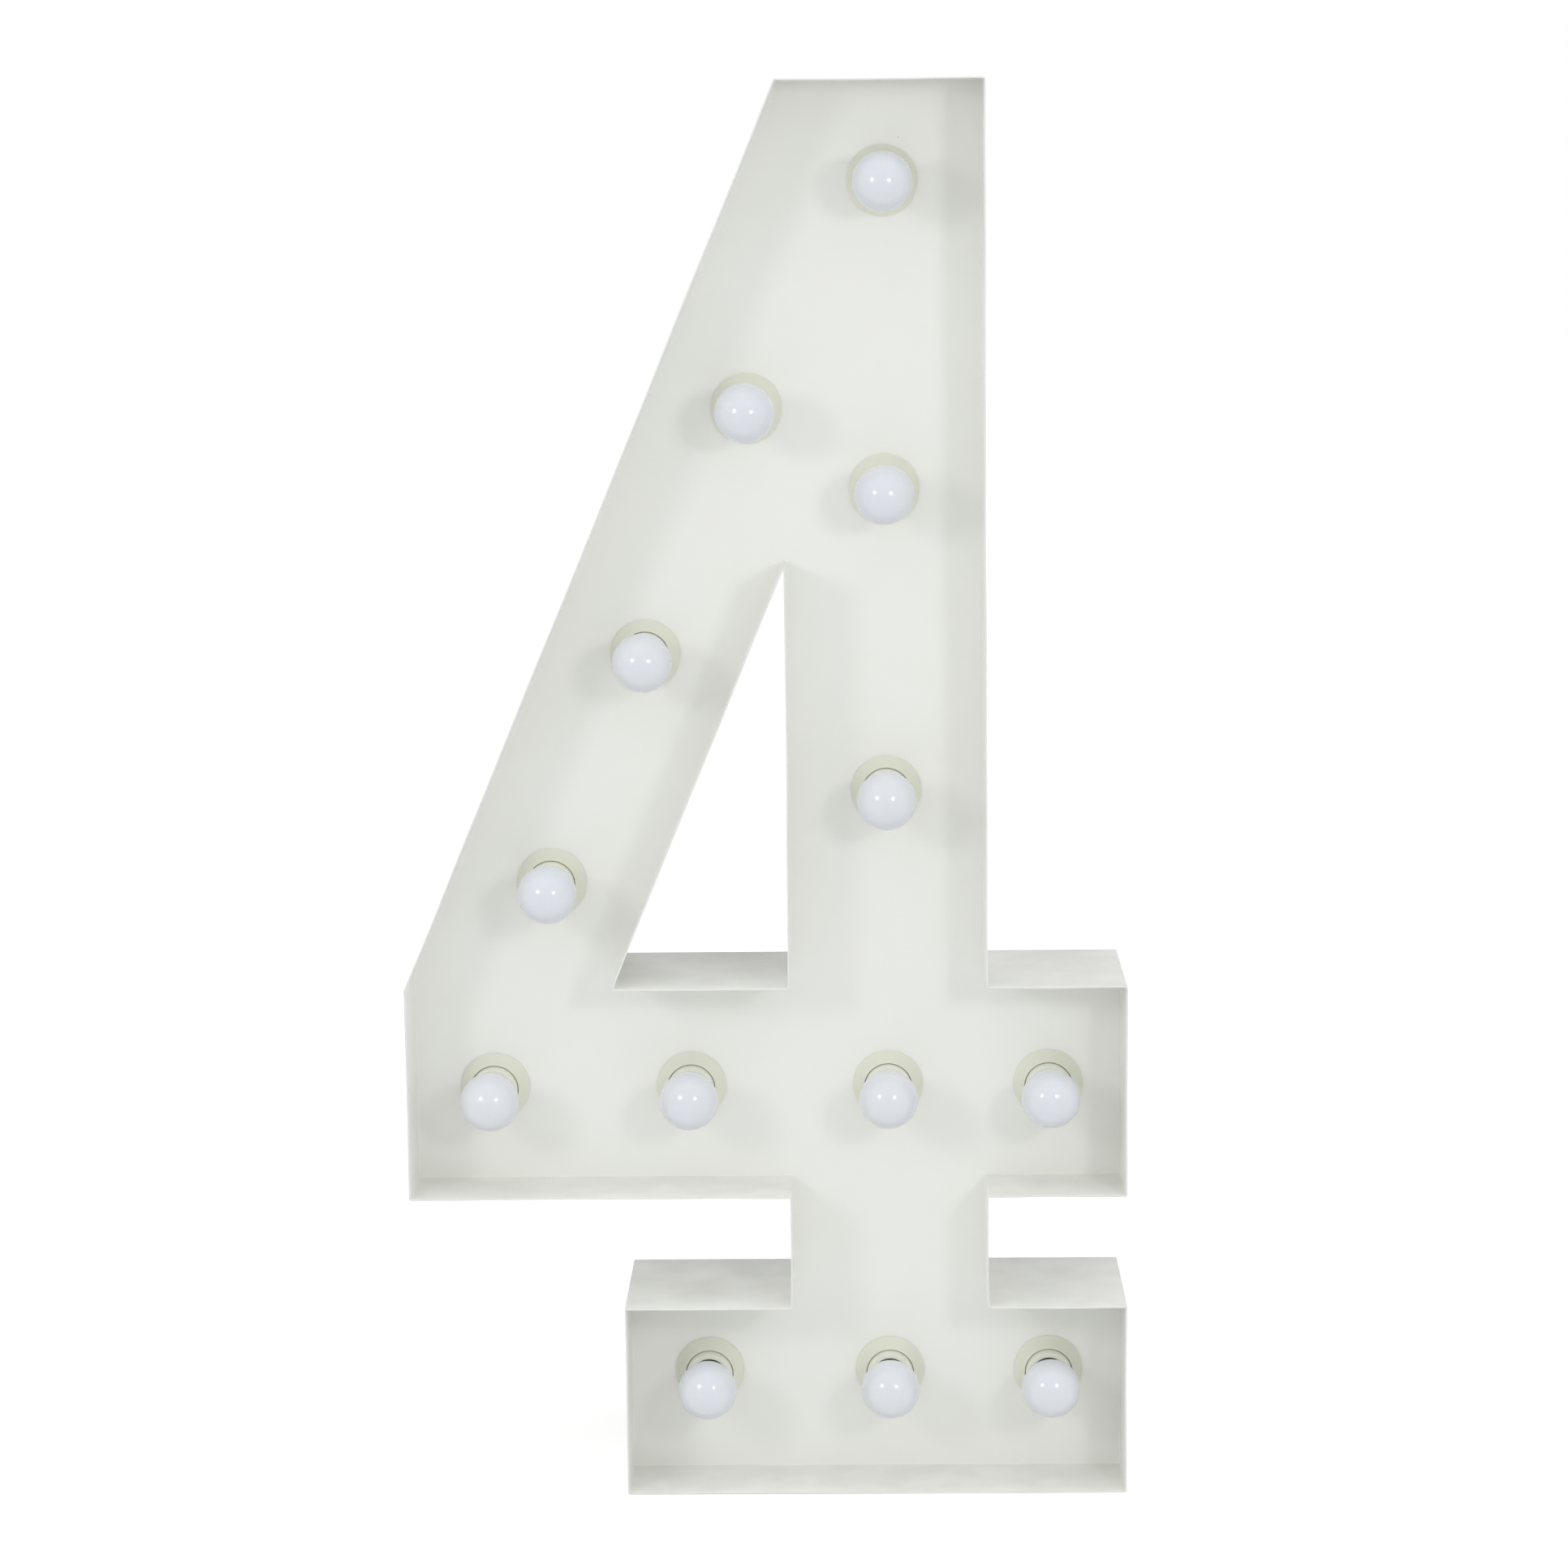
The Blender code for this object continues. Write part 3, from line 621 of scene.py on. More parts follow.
# Painted shade: the ring's ivory is the holder's ivory made darker.
RING_IVORY_SHADED = Moulding("ivory_ring_shaded", Slot.IVORY, (0.755, 0.765, 0.665), (0.74, 0.75, 0.645), 0.42, bump=0.06)
BLACK = Moulding("black_nylon", Slot.BLACK, (0.022, 0.022, 0.023), (0.03, 0.03, 0.03), 0.45,
                 scuff=(0.09, 0.09, 0.09))
ROCKER_RED = Moulding("rocker_red", Slot.ROCKER, (0.46, 0.02, 0.018), (0.40, 0.02, 0.018), 0.25,
                      scuff=(0.6, 0.1, 0.1))
MARK_WHITE = Moulding("mark_white", Slot.ROCKER, (0.82, 0.82, 0.80), (0.78, 0.78, 0.76), 0.4)
OPAL = Moulding("opal_diffuser", Slot.OPAL, (0.68, 0.71, 0.755), (0.69, 0.71, 0.75), 0.15, specular=1.0,
                soft=0.012, bump=0.01)
GLASS_BLACK = Moulding("cap_insulator", Slot.CAP, (0.02, 0.02, 0.025), (0.03, 0.03, 0.035), 0.15, coat=0.6,
                       bump=0.03)
ZINC = Plating("zinc_plate", Slot.STEEL, (0.66, 0.66, 0.64), (0.60, 0.61, 0.61), 0.34, bump=0.08)
SOLDER = Plating("solder_tip", Slot.CAP, (0.58, 0.58, 0.58), (0.5, 0.5, 0.5), 0.42, bump=0.3)
NICKEL = Plating("nickel_plate", Slot.CAP, (0.72, 0.71, 0.67), (0.68, 0.66, 0.62), 0.24, bump=0.02,
                 grain=3000.0, stretch=(0.1, 1.0, 0.1), drawn=0.08)
PIN_NICKEL = replace(NICKEL, name="pin_nickel", slot=Slot.PIN, roughness=0.26, stretch=(1.0, 0.1, 1.0))
BROWN = Moulding("brown_insulation", Slot.BROWN, (0.16, 0.06, 0.03), (0.14, 0.05, 0.026), 0.42, bump=0.04)
BLUE = Moulding("blue_insulation", Slot.BLUE, (0.03, 0.10, 0.40), (0.025, 0.09, 0.36), 0.42, bump=0.04)
GREEN = Moulding("green_insulation", Slot.GREEN, (0.20, 0.45, 0.06), (0.18, 0.40, 0.05), 0.42, bump=0.04)


# Outlines and solids


def heading(start: Point, end: Point) -> Vector:
    """Unit vector from one (x, z) point to another."""
    return (Vector(end) - Vector(start)).normalized()


def right_hand(start: Point, end: Point) -> Vector:
    """Unit vector at right angles to a line, on its right hand side."""
    along = heading(start, end)
    return Vector((along.y, -along.x))


def mitre(before: Point, corner: Point, after: Point) -> Vector:
    """Vector that a corner moves by when both its lines move one unit to their right."""
    first, second = right_hand(before, corner), right_hand(corner, after)
    return (first + second) / (1 + first.dot(second))


def inset(loop: Profile, distance: float) -> list[Point]:
    """The loop moved to its right hand side, with mitred corners.

    Args:
        loop: Corner points, the last of which joins the first.
        distance: How far its sides move.

    Returns:
        The new corner points.
    """
    count = len(loop)
    moves = [mitre(loop[i - 1], loop[i], loop[(i + 1) % count]) * distance for i in range(count)]
    return [(x + move.x, z + move.y) for (x, z), move in zip(loop, moves)]


def arc(centre: Point, radius: float, start: float, end: float, steps: int) -> list[Point]:
    """Points along an arc between two angles in radians, with both ends, in so many straight steps."""
    angles = [start + (end - start) * i / steps for i in range(steps + 1)]
    return [(centre[0] + radius * math.cos(angle), centre[1] + radius * math.sin(angle)) for angle in angles]


def ring_points(centre: Point, radius: float, sides: int) -> list[Point]:
    """Points of a round hole."""
    return arc(centre, radius, 0, math.tau, sides)[:-1]


def area(loop: Profile) -> float:
    """Signed area of a loop, positive when it runs anticlockwise."""
    return sum(x0 * z1 - x1 * z0 for (x0, z0), (x1, z1) in zip(loop, [*loop[1:], loop[0]])) / 2


def line_mesh(points: Profile, closed: bool = False) -> Mesh:
    """A mesh of one line, for a geometry tree to work on.

    Args:
        points: The line's points.
        closed: Whether the last point joins the first.

    Returns:
        The mesh.
    """
    edges = [(i, i + 1) for i in range(len(points) - 1)]
    if closed:
        edges.append((len(points) - 1, 0))
    mesh = bpy.data.meshes.new("line")
    mesh.from_pydata([(*point, 0.0) for point in points], edges, [])
    return mesh


def to_mesh(shape: bmesh.types.BMesh) -> Mesh:
    """A mesh from a closed bmesh, which is freed, with its faces pointing out."""
    bmesh.ops.remove_doubles(shape, verts=shape.verts[:], dist=MERGE_DISTANCE)
    bmesh.ops.recalc_face_normals(shape, faces=shape.faces)
    mesh = bpy.data.meshes.new("solid")
    shape.to_mesh(mesh)
    shape.free()
    return mesh


def bridge(shape: bmesh.types.BMesh, rings: Sequence[Sequence[Any]]) -> None:
    """Joins rings of corners, each to the next, with bands of faces."""
    for lower, upper in zip(rings, rings[1:]):
        for i in range(len(lower)):
            shape.faces.new((lower[i - 1], lower[i], upper[i], upper[i - 1]))


def lofted(loops: Sequence[Sequence[Vector]], closed: bool = False) -> Mesh:
    """A solid through loops of points, each with as many points as the next.

    Args:
        loops: The loops, in order.
        closed: Whether the last loop joins the first, so that there are no end faces.

    Returns:
        The mesh.
    """
    shape = bmesh.new()
    rings = [[shape.verts.new(point) for point in loop] for loop in loops]
    bridge(shape, [*rings, rings[0]] if closed else rings)
    if not closed:
        shape.faces.new(rings[0])
        shape.faces.new(rings[-1])
    return to_mesh(shape)


def plate(outer: Profile, holes: Sequence[Profile], near: float, far: float, edge: float) -> Mesh:
    """A sheet with holes and softened edges, from y = near to y = far.

    Args:
        outer: Corner points of its rim, as (x, z).
        holes: Corner points of each hole.
        near: Depth of its front face.
        far: Depth of its back face.
        edge: How far its edges are drawn in.

    Returns:
        The mesh.
    """
    shape = bmesh.new()
    loops = [list(outer) if area(outer) < 0 else list(outer)[::-1]]
    loops += [list(hole) if area(hole) > 0 else list(hole)[::-1] for hole in holes]
    faces: dict[float, list[bmesh.types.BMEdge]] = {near: [], far: []}
    for loop in loops:
        levels = [(edge, near), (0.0, near + edge), (0.0, far - edge), (edge, far)]
        rings = [[shape.verts.new((x, y, z)) for x, z in inset(loop, distance)] for distance, y in levels]
        bridge(shape, rings)
        for depth, ring in ((near, rings[0]), (far, rings[-1])):
            faces[depth] += [shape.edges.get((ring[i - 1], ring[i])) for i in range(len(ring))]
    for edges in faces.values():
        bmesh.ops.triangle_fill(shape, use_beauty=True, edges=edges)
    return to_mesh(shape)


def turned(profile: Profile, finish: Finish, sides: int, edge: float = 0.0, closed: bool = False) -> Mesh:
    """A piece turned about Z.

    Args:
        profile: Its (radius, height) points, from the axis to the axis, or round a ring's section.
        finish: Its finish.
        sides: Number of faces round it.
        edge: Radius of its edges.
        closed: Whether the profile is a ring's section.

    Returns:
        The mesh.
    """
    sizes = {"Sides": sides, "Edge_Radius": edge, "Edge_Steps": EDGE_STEPS}
    return outward(run_tree(turned_tree(), line_mesh(profile, closed), finish, **sizes))


def outward(mesh: Mesh) -> Mesh:
    """The same closed mesh with its faces pointing out."""
    shape = bmesh.new()
    shape.from_mesh(mesh)
    bmesh.ops.recalc_face_normals(shape, faces=shape.faces)
    shape.to_mesh(mesh)
    shape.free()
    return mesh


def publish(name: str, mesh: Mesh, finish: Finish, body: str = "root", replaces: Sequence[str] = (),
            sharp: float = 35.0) -> Object:
    """Puts a finished piece in the scene and says what it rides on.

    Args:
        name: The piece's name.
        mesh: Its mesh, in place.
        finish: Its finish.
        body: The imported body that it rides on.
        replaces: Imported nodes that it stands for.
        sharp: Least angle of a sharp edge, in degrees.

    Returns:
        The piece.
    """
    mesh.name = name
    mesh.materials.clear()
    mesh.materials.append(finish.material())
    mesh.shade_smooth()
    mesh.set_sharp_from_angle(angle=math.radians(sharp))
    piece = add_object(name, mesh)
    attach(piece, body)
    if replaces:
        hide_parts(*replaces)
    LOG.info("%s rides on %s, %d faces", name, body, len(mesh.polygons))
    return piece


def placed(mesh: Mesh, place: Matrix) -> Mesh:
    """A copy of a mesh, moved to its place."""
    copy = mesh.copy()
    copy.transform(place)
    return copy


# Sheet metal

# A station is a point of a strip's outer face with the way across its sheet there
Station = tuple[Vector, Vector]
Sampled = tuple[Vector, Vector, float, float]


def at_depth(point: Vector, depth: float) -> Vector:
    """A point of the front view, moved to a depth."""
    return Vector((point.x, depth, point.y))


@dataclass(frozen=True)
class Outline:
    """Sizes of the number's outline, as the front shows it."""

    width: float = 0.611
    height: float = 1.2
    stem_width: float = 0.1688
    arm_reach: float = 0.1177
    top_width: float = 0.1726
    base_width: float = 0.4287
    base_height: float = 0.1653
    notch_height: float = 0.096
    bar_height: float = 0.1829
    counter_height: float = 0.3538
    counter_width: float = 0.1477

    def corners(self) -> list[Point]:
        """Corners of the outer edge, clockwise."""
        right = self.width / 2
        left = -right
        stem_right = right - self.arm_reach
        stem_left = stem_right - self.stem_width
        bar_bottom = self.base_height + self.notch_height
        bar_top = bar_bottom + self.bar_height
        base_left = right - self.base_width
        return [
            (stem_right - self.top_width, self.height), (stem_right, self.height), (stem_right, bar_top),
            (right, bar_top), (right, bar_bottom), (stem_right, bar_bottom),
            (stem_right, self.base_height), (right, self.base_height), (right, 0.0),
            (base_left, 0.0), (base_left, self.base_height), (stem_left, self.base_height),
            (stem_left, bar_bottom), (left, bar_bottom), (left, bar_top),
        ]

    def counter(self) -> list[Point]:
        """Corners of the triangular counter, anticlockwise."""
        stem_left = self.width / 2 - self.arm_reach - self.stem_width
        bar_top = self.base_height + self.notch_height + self.bar_height
        return [
            (stem_left, bar_top + self.counter_height),
            (stem_left - self.counter_width, bar_top),
            (stem_left, bar_top),
        ]


@dataclass
class SideWalls:
    """The folded strips round the outline and the counter.

    Attributes:
        outline: The number's outline.
        sheet: Thickness of the sheet.
        bend: Inner radius of a fold.
        setback: How far an acute corner may draw back from its sharp point.
        bend_steps: Straight stretches along a fold.
        edge: Rounding of the sheet's edges.
        butt: Gap between two strips at a corner.
        sample: Longest stretch along a strip.
        depth_steps: Faces across the depth of a wall.
        wave: How far the sheet wanders inwards between its folds.
        wave_lengths: Lengths of that wandering along the wall.
        settle: Distance from a fold over which it dies out.
    """

    outline: Outline = field(default_factory=Outline)
    sheet: float = 0.0012
    bend: float = 0.0012
    setback: float = 0.0012
    bend_steps: int = 6
    edge: float = 0.0003
    butt: float = 0.00004
    sample: float = 0.02
    depth_steps: int = 10
    wave: float = 0.0007
    wave_lengths: Point = (0.41, 0.17)
    settle: float = 0.07

    STRIPS = {
        "return_top_and_stem": (0, 2),
        "return_arm": (2, 5),
        "return_foot_right": (5, 7),
        "return_base": (7, 10),
        "return_foot_left": (10, 12),
        "return_bar_left": (12, 14),
        "return_diagonal": (14, 15),
    }

    def build(self) -> None:
        """Makes every strip."""
        corners = self.outline.corners()
        count = len(corners)
        for name, (start, end) in self.STRIPS.items():
            run = [corners[i % count] for i in range(start - 1, end + 2)]
            stations = [self.butt_end(*run[:3], 1)]
            for i in range(2, len(run) - 2):
                stations += self.fold(*run[i - 1:i + 2])
            stations.append(self.butt_end(*run[-3:], -1))
            self.add_strip(name, self.loops(self.sampled(stations), start))
        stations = self.stations(self.outline.counter())
        loops = self.loops(self.sampled([*stations, stations[0]]), count)
        self.add_strip("return_counter", loops[:-1], closed=True)

    def add_strip(self, node: str, loops: Sequence[Sequence[Vector]], closed: bool = False) -> None:
        """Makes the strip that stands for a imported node."""
        publish(node.replace("return", "wall"), lofted(loops, closed), CASE_PAINT_LIGHTENED, replaces=[node])

    def fold(self, before: Point, corner: Point, after: Point) -> list[Station]:
        """Stations round a fold.

        Args:
            before: The corner before it.
            corner: The corner that is folded.
            after: The corner after it.

        Returns:
            The stations, from the one strip to the other.
        """
        first, second = right_hand(before, corner), right_hand(corner, after)
        turn = first.x * second.y - first.y * second.x
        point = mitre(before, corner, after)
        bend = min(self.bend, self.setback / (point.length - 1))
        reach = -bend if turn > 0 else bend + self.sheet
        centre = Vector(corner) + point * reach
        angle = math.atan2(turn, first.dot(second))
        stations = []
        for i in range(self.bend_steps + 1):
            across = Matrix.Rotation(angle * i / self.bend_steps, 2) @ first
            stations.append((centre - across * reach, across))
        return stations

    def stations(self, loop: Profile) -> list[Station]:
        """Stations all round a loop, folded but where two strips meet.

        Args:
            loop: The outline's corners or the counter's.

        Returns:
            The stations.
        """
        butts = [start for start, _ in self.STRIPS.values()] if area(loop) < 0 else []
        found: list[Station] = []
        for i, corner in enumerate(loop):
            before, after = loop[i - 1], loop[(i + 1) % len(loop)]
            if i in butts:
                found.append((Vector(corner), mitre(before, corner, after)))
            else:
                found += self.fold(before, corner, after)
        return found

    def rim(self, loop: Profile, reach: float) -> list[Point]:
        """Line at a reach across the sheet all round a loop."""
        return [tuple(point + across * reach) for point, across in self.stations(loop)]

    def butt_end(self, before: Point, corner: Point, after: Point, way: int) -> Station:
        """Station at a strip's mitred end. Way is 1 where the strip starts and -1 where it ends."""
        along = heading(corner, after) if way > 0 else heading(corner, before)
        return Vector(corner) + along * self.butt, mitre(before, corner, after)

    def sampled(self, stations: Sequence[Station]) -> list[Sampled]:
        """Adds stations along the straight stretches.

        Args:
            stations: Those at the folds and ends.

        Returns:
            All stations, each with its distance along the strip and to the nearest fold.
        """
        line: list[Sampled] = [(*stations[0], 0.0, 0.0)]
        travelled = 0.0
        for (start, _), (end, way) in zip(stations, stations[1:]):
            length = (end - start).length
            across = right_hand(start, end)
            steps = max(1, round(length / self.sample))
            for i in range(1, steps):
                passed = length * i / steps
                near = min(passed, length - passed)
                line.append((start.lerp(end, i / steps), across, travelled + passed, near))
            travelled += length
            line.append((end, way, travelled, 0.0))
        return line

    def loops(self, stations: Iterable[Sampled], phase: int) -> list[list[Vector]]:
        """The wall's section at each station, as points in the scene.

        Args:
            stations: The stations.
            phase: Shift of the sheet's wandering, in radians.

        Returns:
            A loop of points for each station.
        """
        section = [(reach, y, self.freedom(y)) for reach, y in self.section()]
        loops = []
        for point, across, travelled, near in stations:
            swing = self.swing(travelled, near, phase)
            loops.append([at_depth(point + across * (reach + swing * free), y) for reach, y, free in section])
        return loops

    def section(self) -> list[Point]:
        """Section of the sheet as (reach across it, y), with rounded edges."""
        edge, steps = self.edge, EDGE_STEPS
        near, far = DEPTHS.front + edge, DEPTHS.back - edge
        side = [near + (far - near) * i / self.depth_steps for i in range(1, self.depth_steps)]
        points = arc((edge, near), edge, -QUARTER, -math.pi, steps)
        points += [(0.0, y) for y in side]
        points += arc((edge, far), edge, math.pi, QUARTER, steps)
        points += arc((self.sheet - edge, far), edge, QUARTER, 0, steps)
        points += [(self.sheet, y) for y in reversed(side)]
        points += arc((self.sheet - edge, near), edge, 0, -QUARTER, steps)
        return points

    def swing(self, travelled: float, near: float, phase: int) -> float:
        """How far the sheet stands in from its true plane, from 0 to wave."""
        long, short = (math.tau * travelled / length for length in self.wave_lengths)
        steady, slow, quick = 0.5, 0.3, 0.2
        ripple = steady + slow * math.sin(long + phase) + quick * math.sin(short)
        ease = min(1.0, near / self.settle)
        return self.wave * ripple * ease * ease * (3 - 2 * ease)

    def freedom(self, y: float) -> float:
        """Share of the swing at a depth: none where the panel and the cover's frame hold the wall."""
        if y <= DEPTHS.panel:
            return (DEPTHS.panel - y) / (DEPTHS.panel - DEPTHS.front)
        if y >= DEPTHS.cover_inner:
            return 0.0
        return math.sin(math.pi * (y - DEPTHS.panel) / (DEPTHS.cover_inner - DEPTHS.panel)) / 2


@dataclass
class Plates:
    """The lamp panel with its bead of sealant, the rear cover with its frame and screws.

    Attributes:
        outline: The number's outline.
        sheet: Thickness of the sheet.
        edge: How far edges are drawn in.
        lamp_hole: Radius of the hole for a lamp holder.
        bead: Hollow radius of the bead of sealant in front of the panel's rim.
        frame_width: Width of the frame that the cover lies on.
        frame_sheet: Its thickness.
        screw_hole: Radius of a hole for a screw.
        screw_head: Radius and height of a pan head.
        screw_shank: Radius and length of a shank.
        recess: Length, width and depth of the cross in a head.
        screw_shares: Wall that each screw is beside, and its share along it.
    """

    outline: Outline = field(default_factory=Outline)
    sheet: float = 0.0012
    edge: float = 0.00015
    lamp_hole: float = 0.0203
    bead: float = 0.0011
    frame_width: float = 0.016
    frame_sheet: float = 0.0015
    screw_hole: float = 0.0018
    screw_head: Point = (0.0032, 0.0022)
    screw_shank: Point = (0.0014, 0.008)
    recess: Triple = (0.0034, 0.0007, 0.0013)
    screw_shares: tuple[tuple[int, float], ...] = (
        (0, 0.5), (1, 0.3), (1, 0.7), (3, 0.5), (7, 0.5), (8, 0.25), (8, 0.75), (9, 0.5),
        (12, 0.7), (13, 0.5), (14, 0.25), (14, 0.6),
    )

    def build(self, cutouts: Sequence[Profile]) -> None:
        """Makes the plates and what holds them.

        Args:
            cutouts: Openings in the rear cover for what is snapped into it.
        """
        reach = self.sheet + GAP
        walls = SideWalls(self.outline, self.sheet)
        edges = {"bead_outer": self.outline.corners(), "bead_counter": self.outline.counter()}
        outer, counter = (walls.rim(loop, reach) for loop in edges.values())
        lamps = [lamp_place(number) for number in lamp_numbers()]
        holes = [ring_points((lamp.x, lamp.z), self.lamp_hole, sides=48) for lamp in lamps]
        panel = plate(outer, [counter, *holes], DEPTHS.panel, DEPTHS.panel_back, self.edge)
        publish("lamp_panel", panel, PANEL_PAINT, replaces=["bulb_panel"])
        for name, loop in edges.items():
            self.add_bead(name, walls.stations(loop))

        holes = [ring_points(place, self.screw_hole, sides=16) for place in self.screw_places()]
        cover = plate(outer, [counter, *holes, *cutouts], DEPTHS.cover_inner, DEPTHS.cover, self.edge)
        publish("cover_plate", cover, COVER_PAINT, replaces=["rear_cover"])
        far = DEPTHS.cover_inner - GAP
        window = inset(self.outline.corners(), reach + self.frame_width)
        rail = plate(outer, [window], far - self.frame_sheet, far, self.edge)
        publish("cover_rail", rail, ZINC, replaces=["cover_frame"])
        self.add_screws()

    def add_bead(self, name: str, stations: Iterable[Station]) -> None:
        """Hollow bead of sealant in the corner between the panel and the walls.

        Args:
            name: The piece's name.
            stations: Stations of the walls.
        """
        foot, top = self.sheet, DEPTHS.panel
        section = [(foot, top)]
        section += arc((foot + self.bead, top - self.bead), self.bead, QUARTER, math.pi, steps=5)
        loops = [[at_depth(point + across * reach, y) for reach, y in section] for point, across in stations]
        publish(name, lofted(loops, closed=True), PANEL_PAINT)

    def screw_places(self) -> list[Point]:
        """The (x, z) places of the cover screws, along the middle of the frame."""
        corners = self.outline.corners()
        reach = self.sheet + GAP + self.frame_width / 2
        places = []
        for wall, share in self.screw_shares:
            start, end = corners[wall], corners[(wall + 1) % len(corners)]
            place = Vector(start).lerp(Vector(end), share) + right_hand(start, end) * reach
            places.append((place.x, place.y))
        return places

    def screw(self) -> Object:
        """A pan head screw along Z with a cross in its head, ready to be copied."""
        radius, head = self.screw_head
        shank, length = self.screw_shank
        crown_ends, rim_share, taper = math.radians(25), 0.3, 0.5
        profile = arc((0.0, GAP + head - radius), radius, QUARTER, crown_ends, steps=6)
        profile += [(radius, GAP + head * rim_share), (radius, GAP), (shank, GAP)]
        profile += [(shank, -length), (0.0, -length)]
        item = add_object("screw", turned(profile, ZINC, sides=24))
        long, wide, deep = self.recess
        levels = ((1.0, GAP + head + deep), (taper, GAP + head - deep))
        for x, y in ((long / 2, wide / 2), (wide / 2, long / 2)):
            corners = [(-x, -y), (x, -y), (x, y), (-x, y)]
            loops = [[Vector((a * share, b * share, z)) for a, b in corners] for share, z in levels]
            cutter = add_object("cross", lofted(loops))
            cut = item.modifiers.new("Cross", "BOOLEAN")
            cut.operation = "DIFFERENCE"
            cut.solver = "EXACT"
            cut.object = cutter
            mesh = plain_mesh(item)
            item.modifiers.clear()
            item.data = mesh
            bpy.data.objects.remove(cutter)
        return item

    def add_screws(self) -> None:
        """Sets a screw at each place."""
        screw = self.screw()
        points = bpy.data.meshes.new("places")
        points.from_pydata([(x, DEPTHS.cover, z) for x, z in self.screw_places()], [], [])
        mesh = run_tree(fastener_tree(), points, ZINC, Fastener=screw, Seed=4)
        bpy.data.objects.remove(screw)
        publish("cover_screws", mesh, ZINC)


# Lamps


@dataclass
class Lamp:
    """One lamp: holder with its ring and nut on the panel, and the bulb that screws out of it.

    Radii and heights are measured from the lamp's axis and out of the panel's front face.

    Attributes:
        number: The lamp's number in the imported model.
        bulb_end: Height of the bulb's contact.
        cap_length: Length of its screw cap.
        globe_radius: Radius of the globe.
        globe_out: Height of the globe's centre.
        neck_radius: Radius of the neck.
        neck_length: Straight length of the neck.
        neck_meets: Angle from the globe's tip at which the neck begins.
        cap_radius: Radius over the cap's thread.
        bore_radius: Radius inside the holder's threaded liner.
        pitch: Rise of the thread in a turn.
        thread: Depth of the thread.
        foil: Thickness of the cap's and the liner's metal.
        ring_radius: Radius of the clamping ring.
        ring_height: Height of its lip.
        ring_groove: Gap between the lip and the holder.
        lip: Width of the lip.
        skirt_radius: Radius of the holder.
        mouth_radius: Radius of its mouth.
        mouth_out: Height of its mouth.
        mouth_depth: Depth of the mouth's cone.
        back_out: Height of its back end.
        floor_out: Height of the floor of its bore.
        nut_radius: Radius of the lock nut's grip.
        nut_thick: Thickness of the nut.
        nut_ribs: Number of ribs round it.
        rib: Width of a rib.
        tongue_width: Width of the sprung contact.
        tongue_thick: Its thickness.
        contact_radius: Radius of the solder button.
        contact_height: Its height.
    """

    number: int
    bulb_end: float = -0.007
    cap_length: float = 0.0247
    globe_radius: float = 0.025
    globe_out: float = 0.058
    neck_radius: float = 0.0142
    neck_length: float = 0.007
    neck_meets: float = math.radians(132)
    cap_radius: float = 0.013
    bore_radius: float = 0.0132
    pitch: float = 0.00362
    thread: float = 0.0006
    foil: float = 0.0001
    ring_radius: float = 0.0297
    ring_height: float = 0.011
    ring_groove: float = 0.0005
    lip: float = 0.0012
    skirt_radius: float = 0.02
    mouth_radius: float = 0.0158
    mouth_out: float = 0.021
    mouth_depth: float = 0.006
    back_out: float = -0.036
    floor_out: float = -0.0104
    nut_radius: float = 0.024
    nut_thick: float = 0.0045
    nut_ribs: int = 30
    rib: float = 0.0008
    tongue_width: float = 0.006
    tongue_thick: float = 0.0004
    contact_radius: float = 0.0046
    contact_height: float = 0.0026

    def build(self) -> None:
        """Makes the pieces, each named after its method. The bulb's ride on bodies of their own."""
        bulb = f"bulb_{self.number:02d}"
        base = f"{bulb}_base"
        pieces = (
            (self.holder, IVORY, "root", [f"lamp_holder_{self.number:02d}"]),
            (self.ring, RING_IVORY_SHADED, "root", []),
            (self.nut, IVORY, "root", []),
            (self.liner, NICKEL, "root", []),
            (self.tongue, NICKEL, "root", []),
            (self.globe, OPAL, bulb, [f"{bulb}_globe"]),
            (self.cap, NICKEL, base, [f"{bulb}_cap"]),
            (self.insulator, GLASS_BLACK, base, []),
            (self.contact, SOLDER, base, []),
        )
        place = Matrix.Translation(lamp_place(self.number)) @ Matrix.Rotation(QUARTER, 4, "X")
        for make, finish, body, nodes in pieces:
            publish(f"lamp_{self.number:02d}_{make.__name__}", placed(make(), place), finish, body, nodes)

    def ring(self) -> Mesh:
        """The dished ring in front of the panel, with a raised lip round the holder."""
        inner = self.skirt_radius + self.ring_groove
        outer_lip = inner + self.lip
        edge, sag, foot = 0.0016, 0.0006, 0.4 * self.lip
        lip_base = self.ring_height - self.lip
        slope = interpolate_bezier(
            Vector((self.ring_radius - edge / 2, GAP + edge, 0)),
            Vector((self.ring_radius - edge * 2, GAP + edge * 2.2, 0)),
            Vector((outer_lip + sag * 3, lip_base - sag * 3, 0)),
            Vector((outer_lip + foot, lip_base, 0)),
            7,
        )
        profile = [(inner, GAP), (self.ring_radius - edge / 4, GAP), (self.ring_radius, GAP + edge / 4)]
        profile += [(self.ring_radius, GAP + edge * 0.7), *[(point.x, point.y) for point in slope]]
        half = self.lip / 2
        lip = arc((inner + half, self.ring_height - half), half, 0, math.pi, steps=8)
        return turned([*profile, (outer_lip, lip_base + foot / 2), *lip], RING_IVORY_SHADED, 96, closed=True)

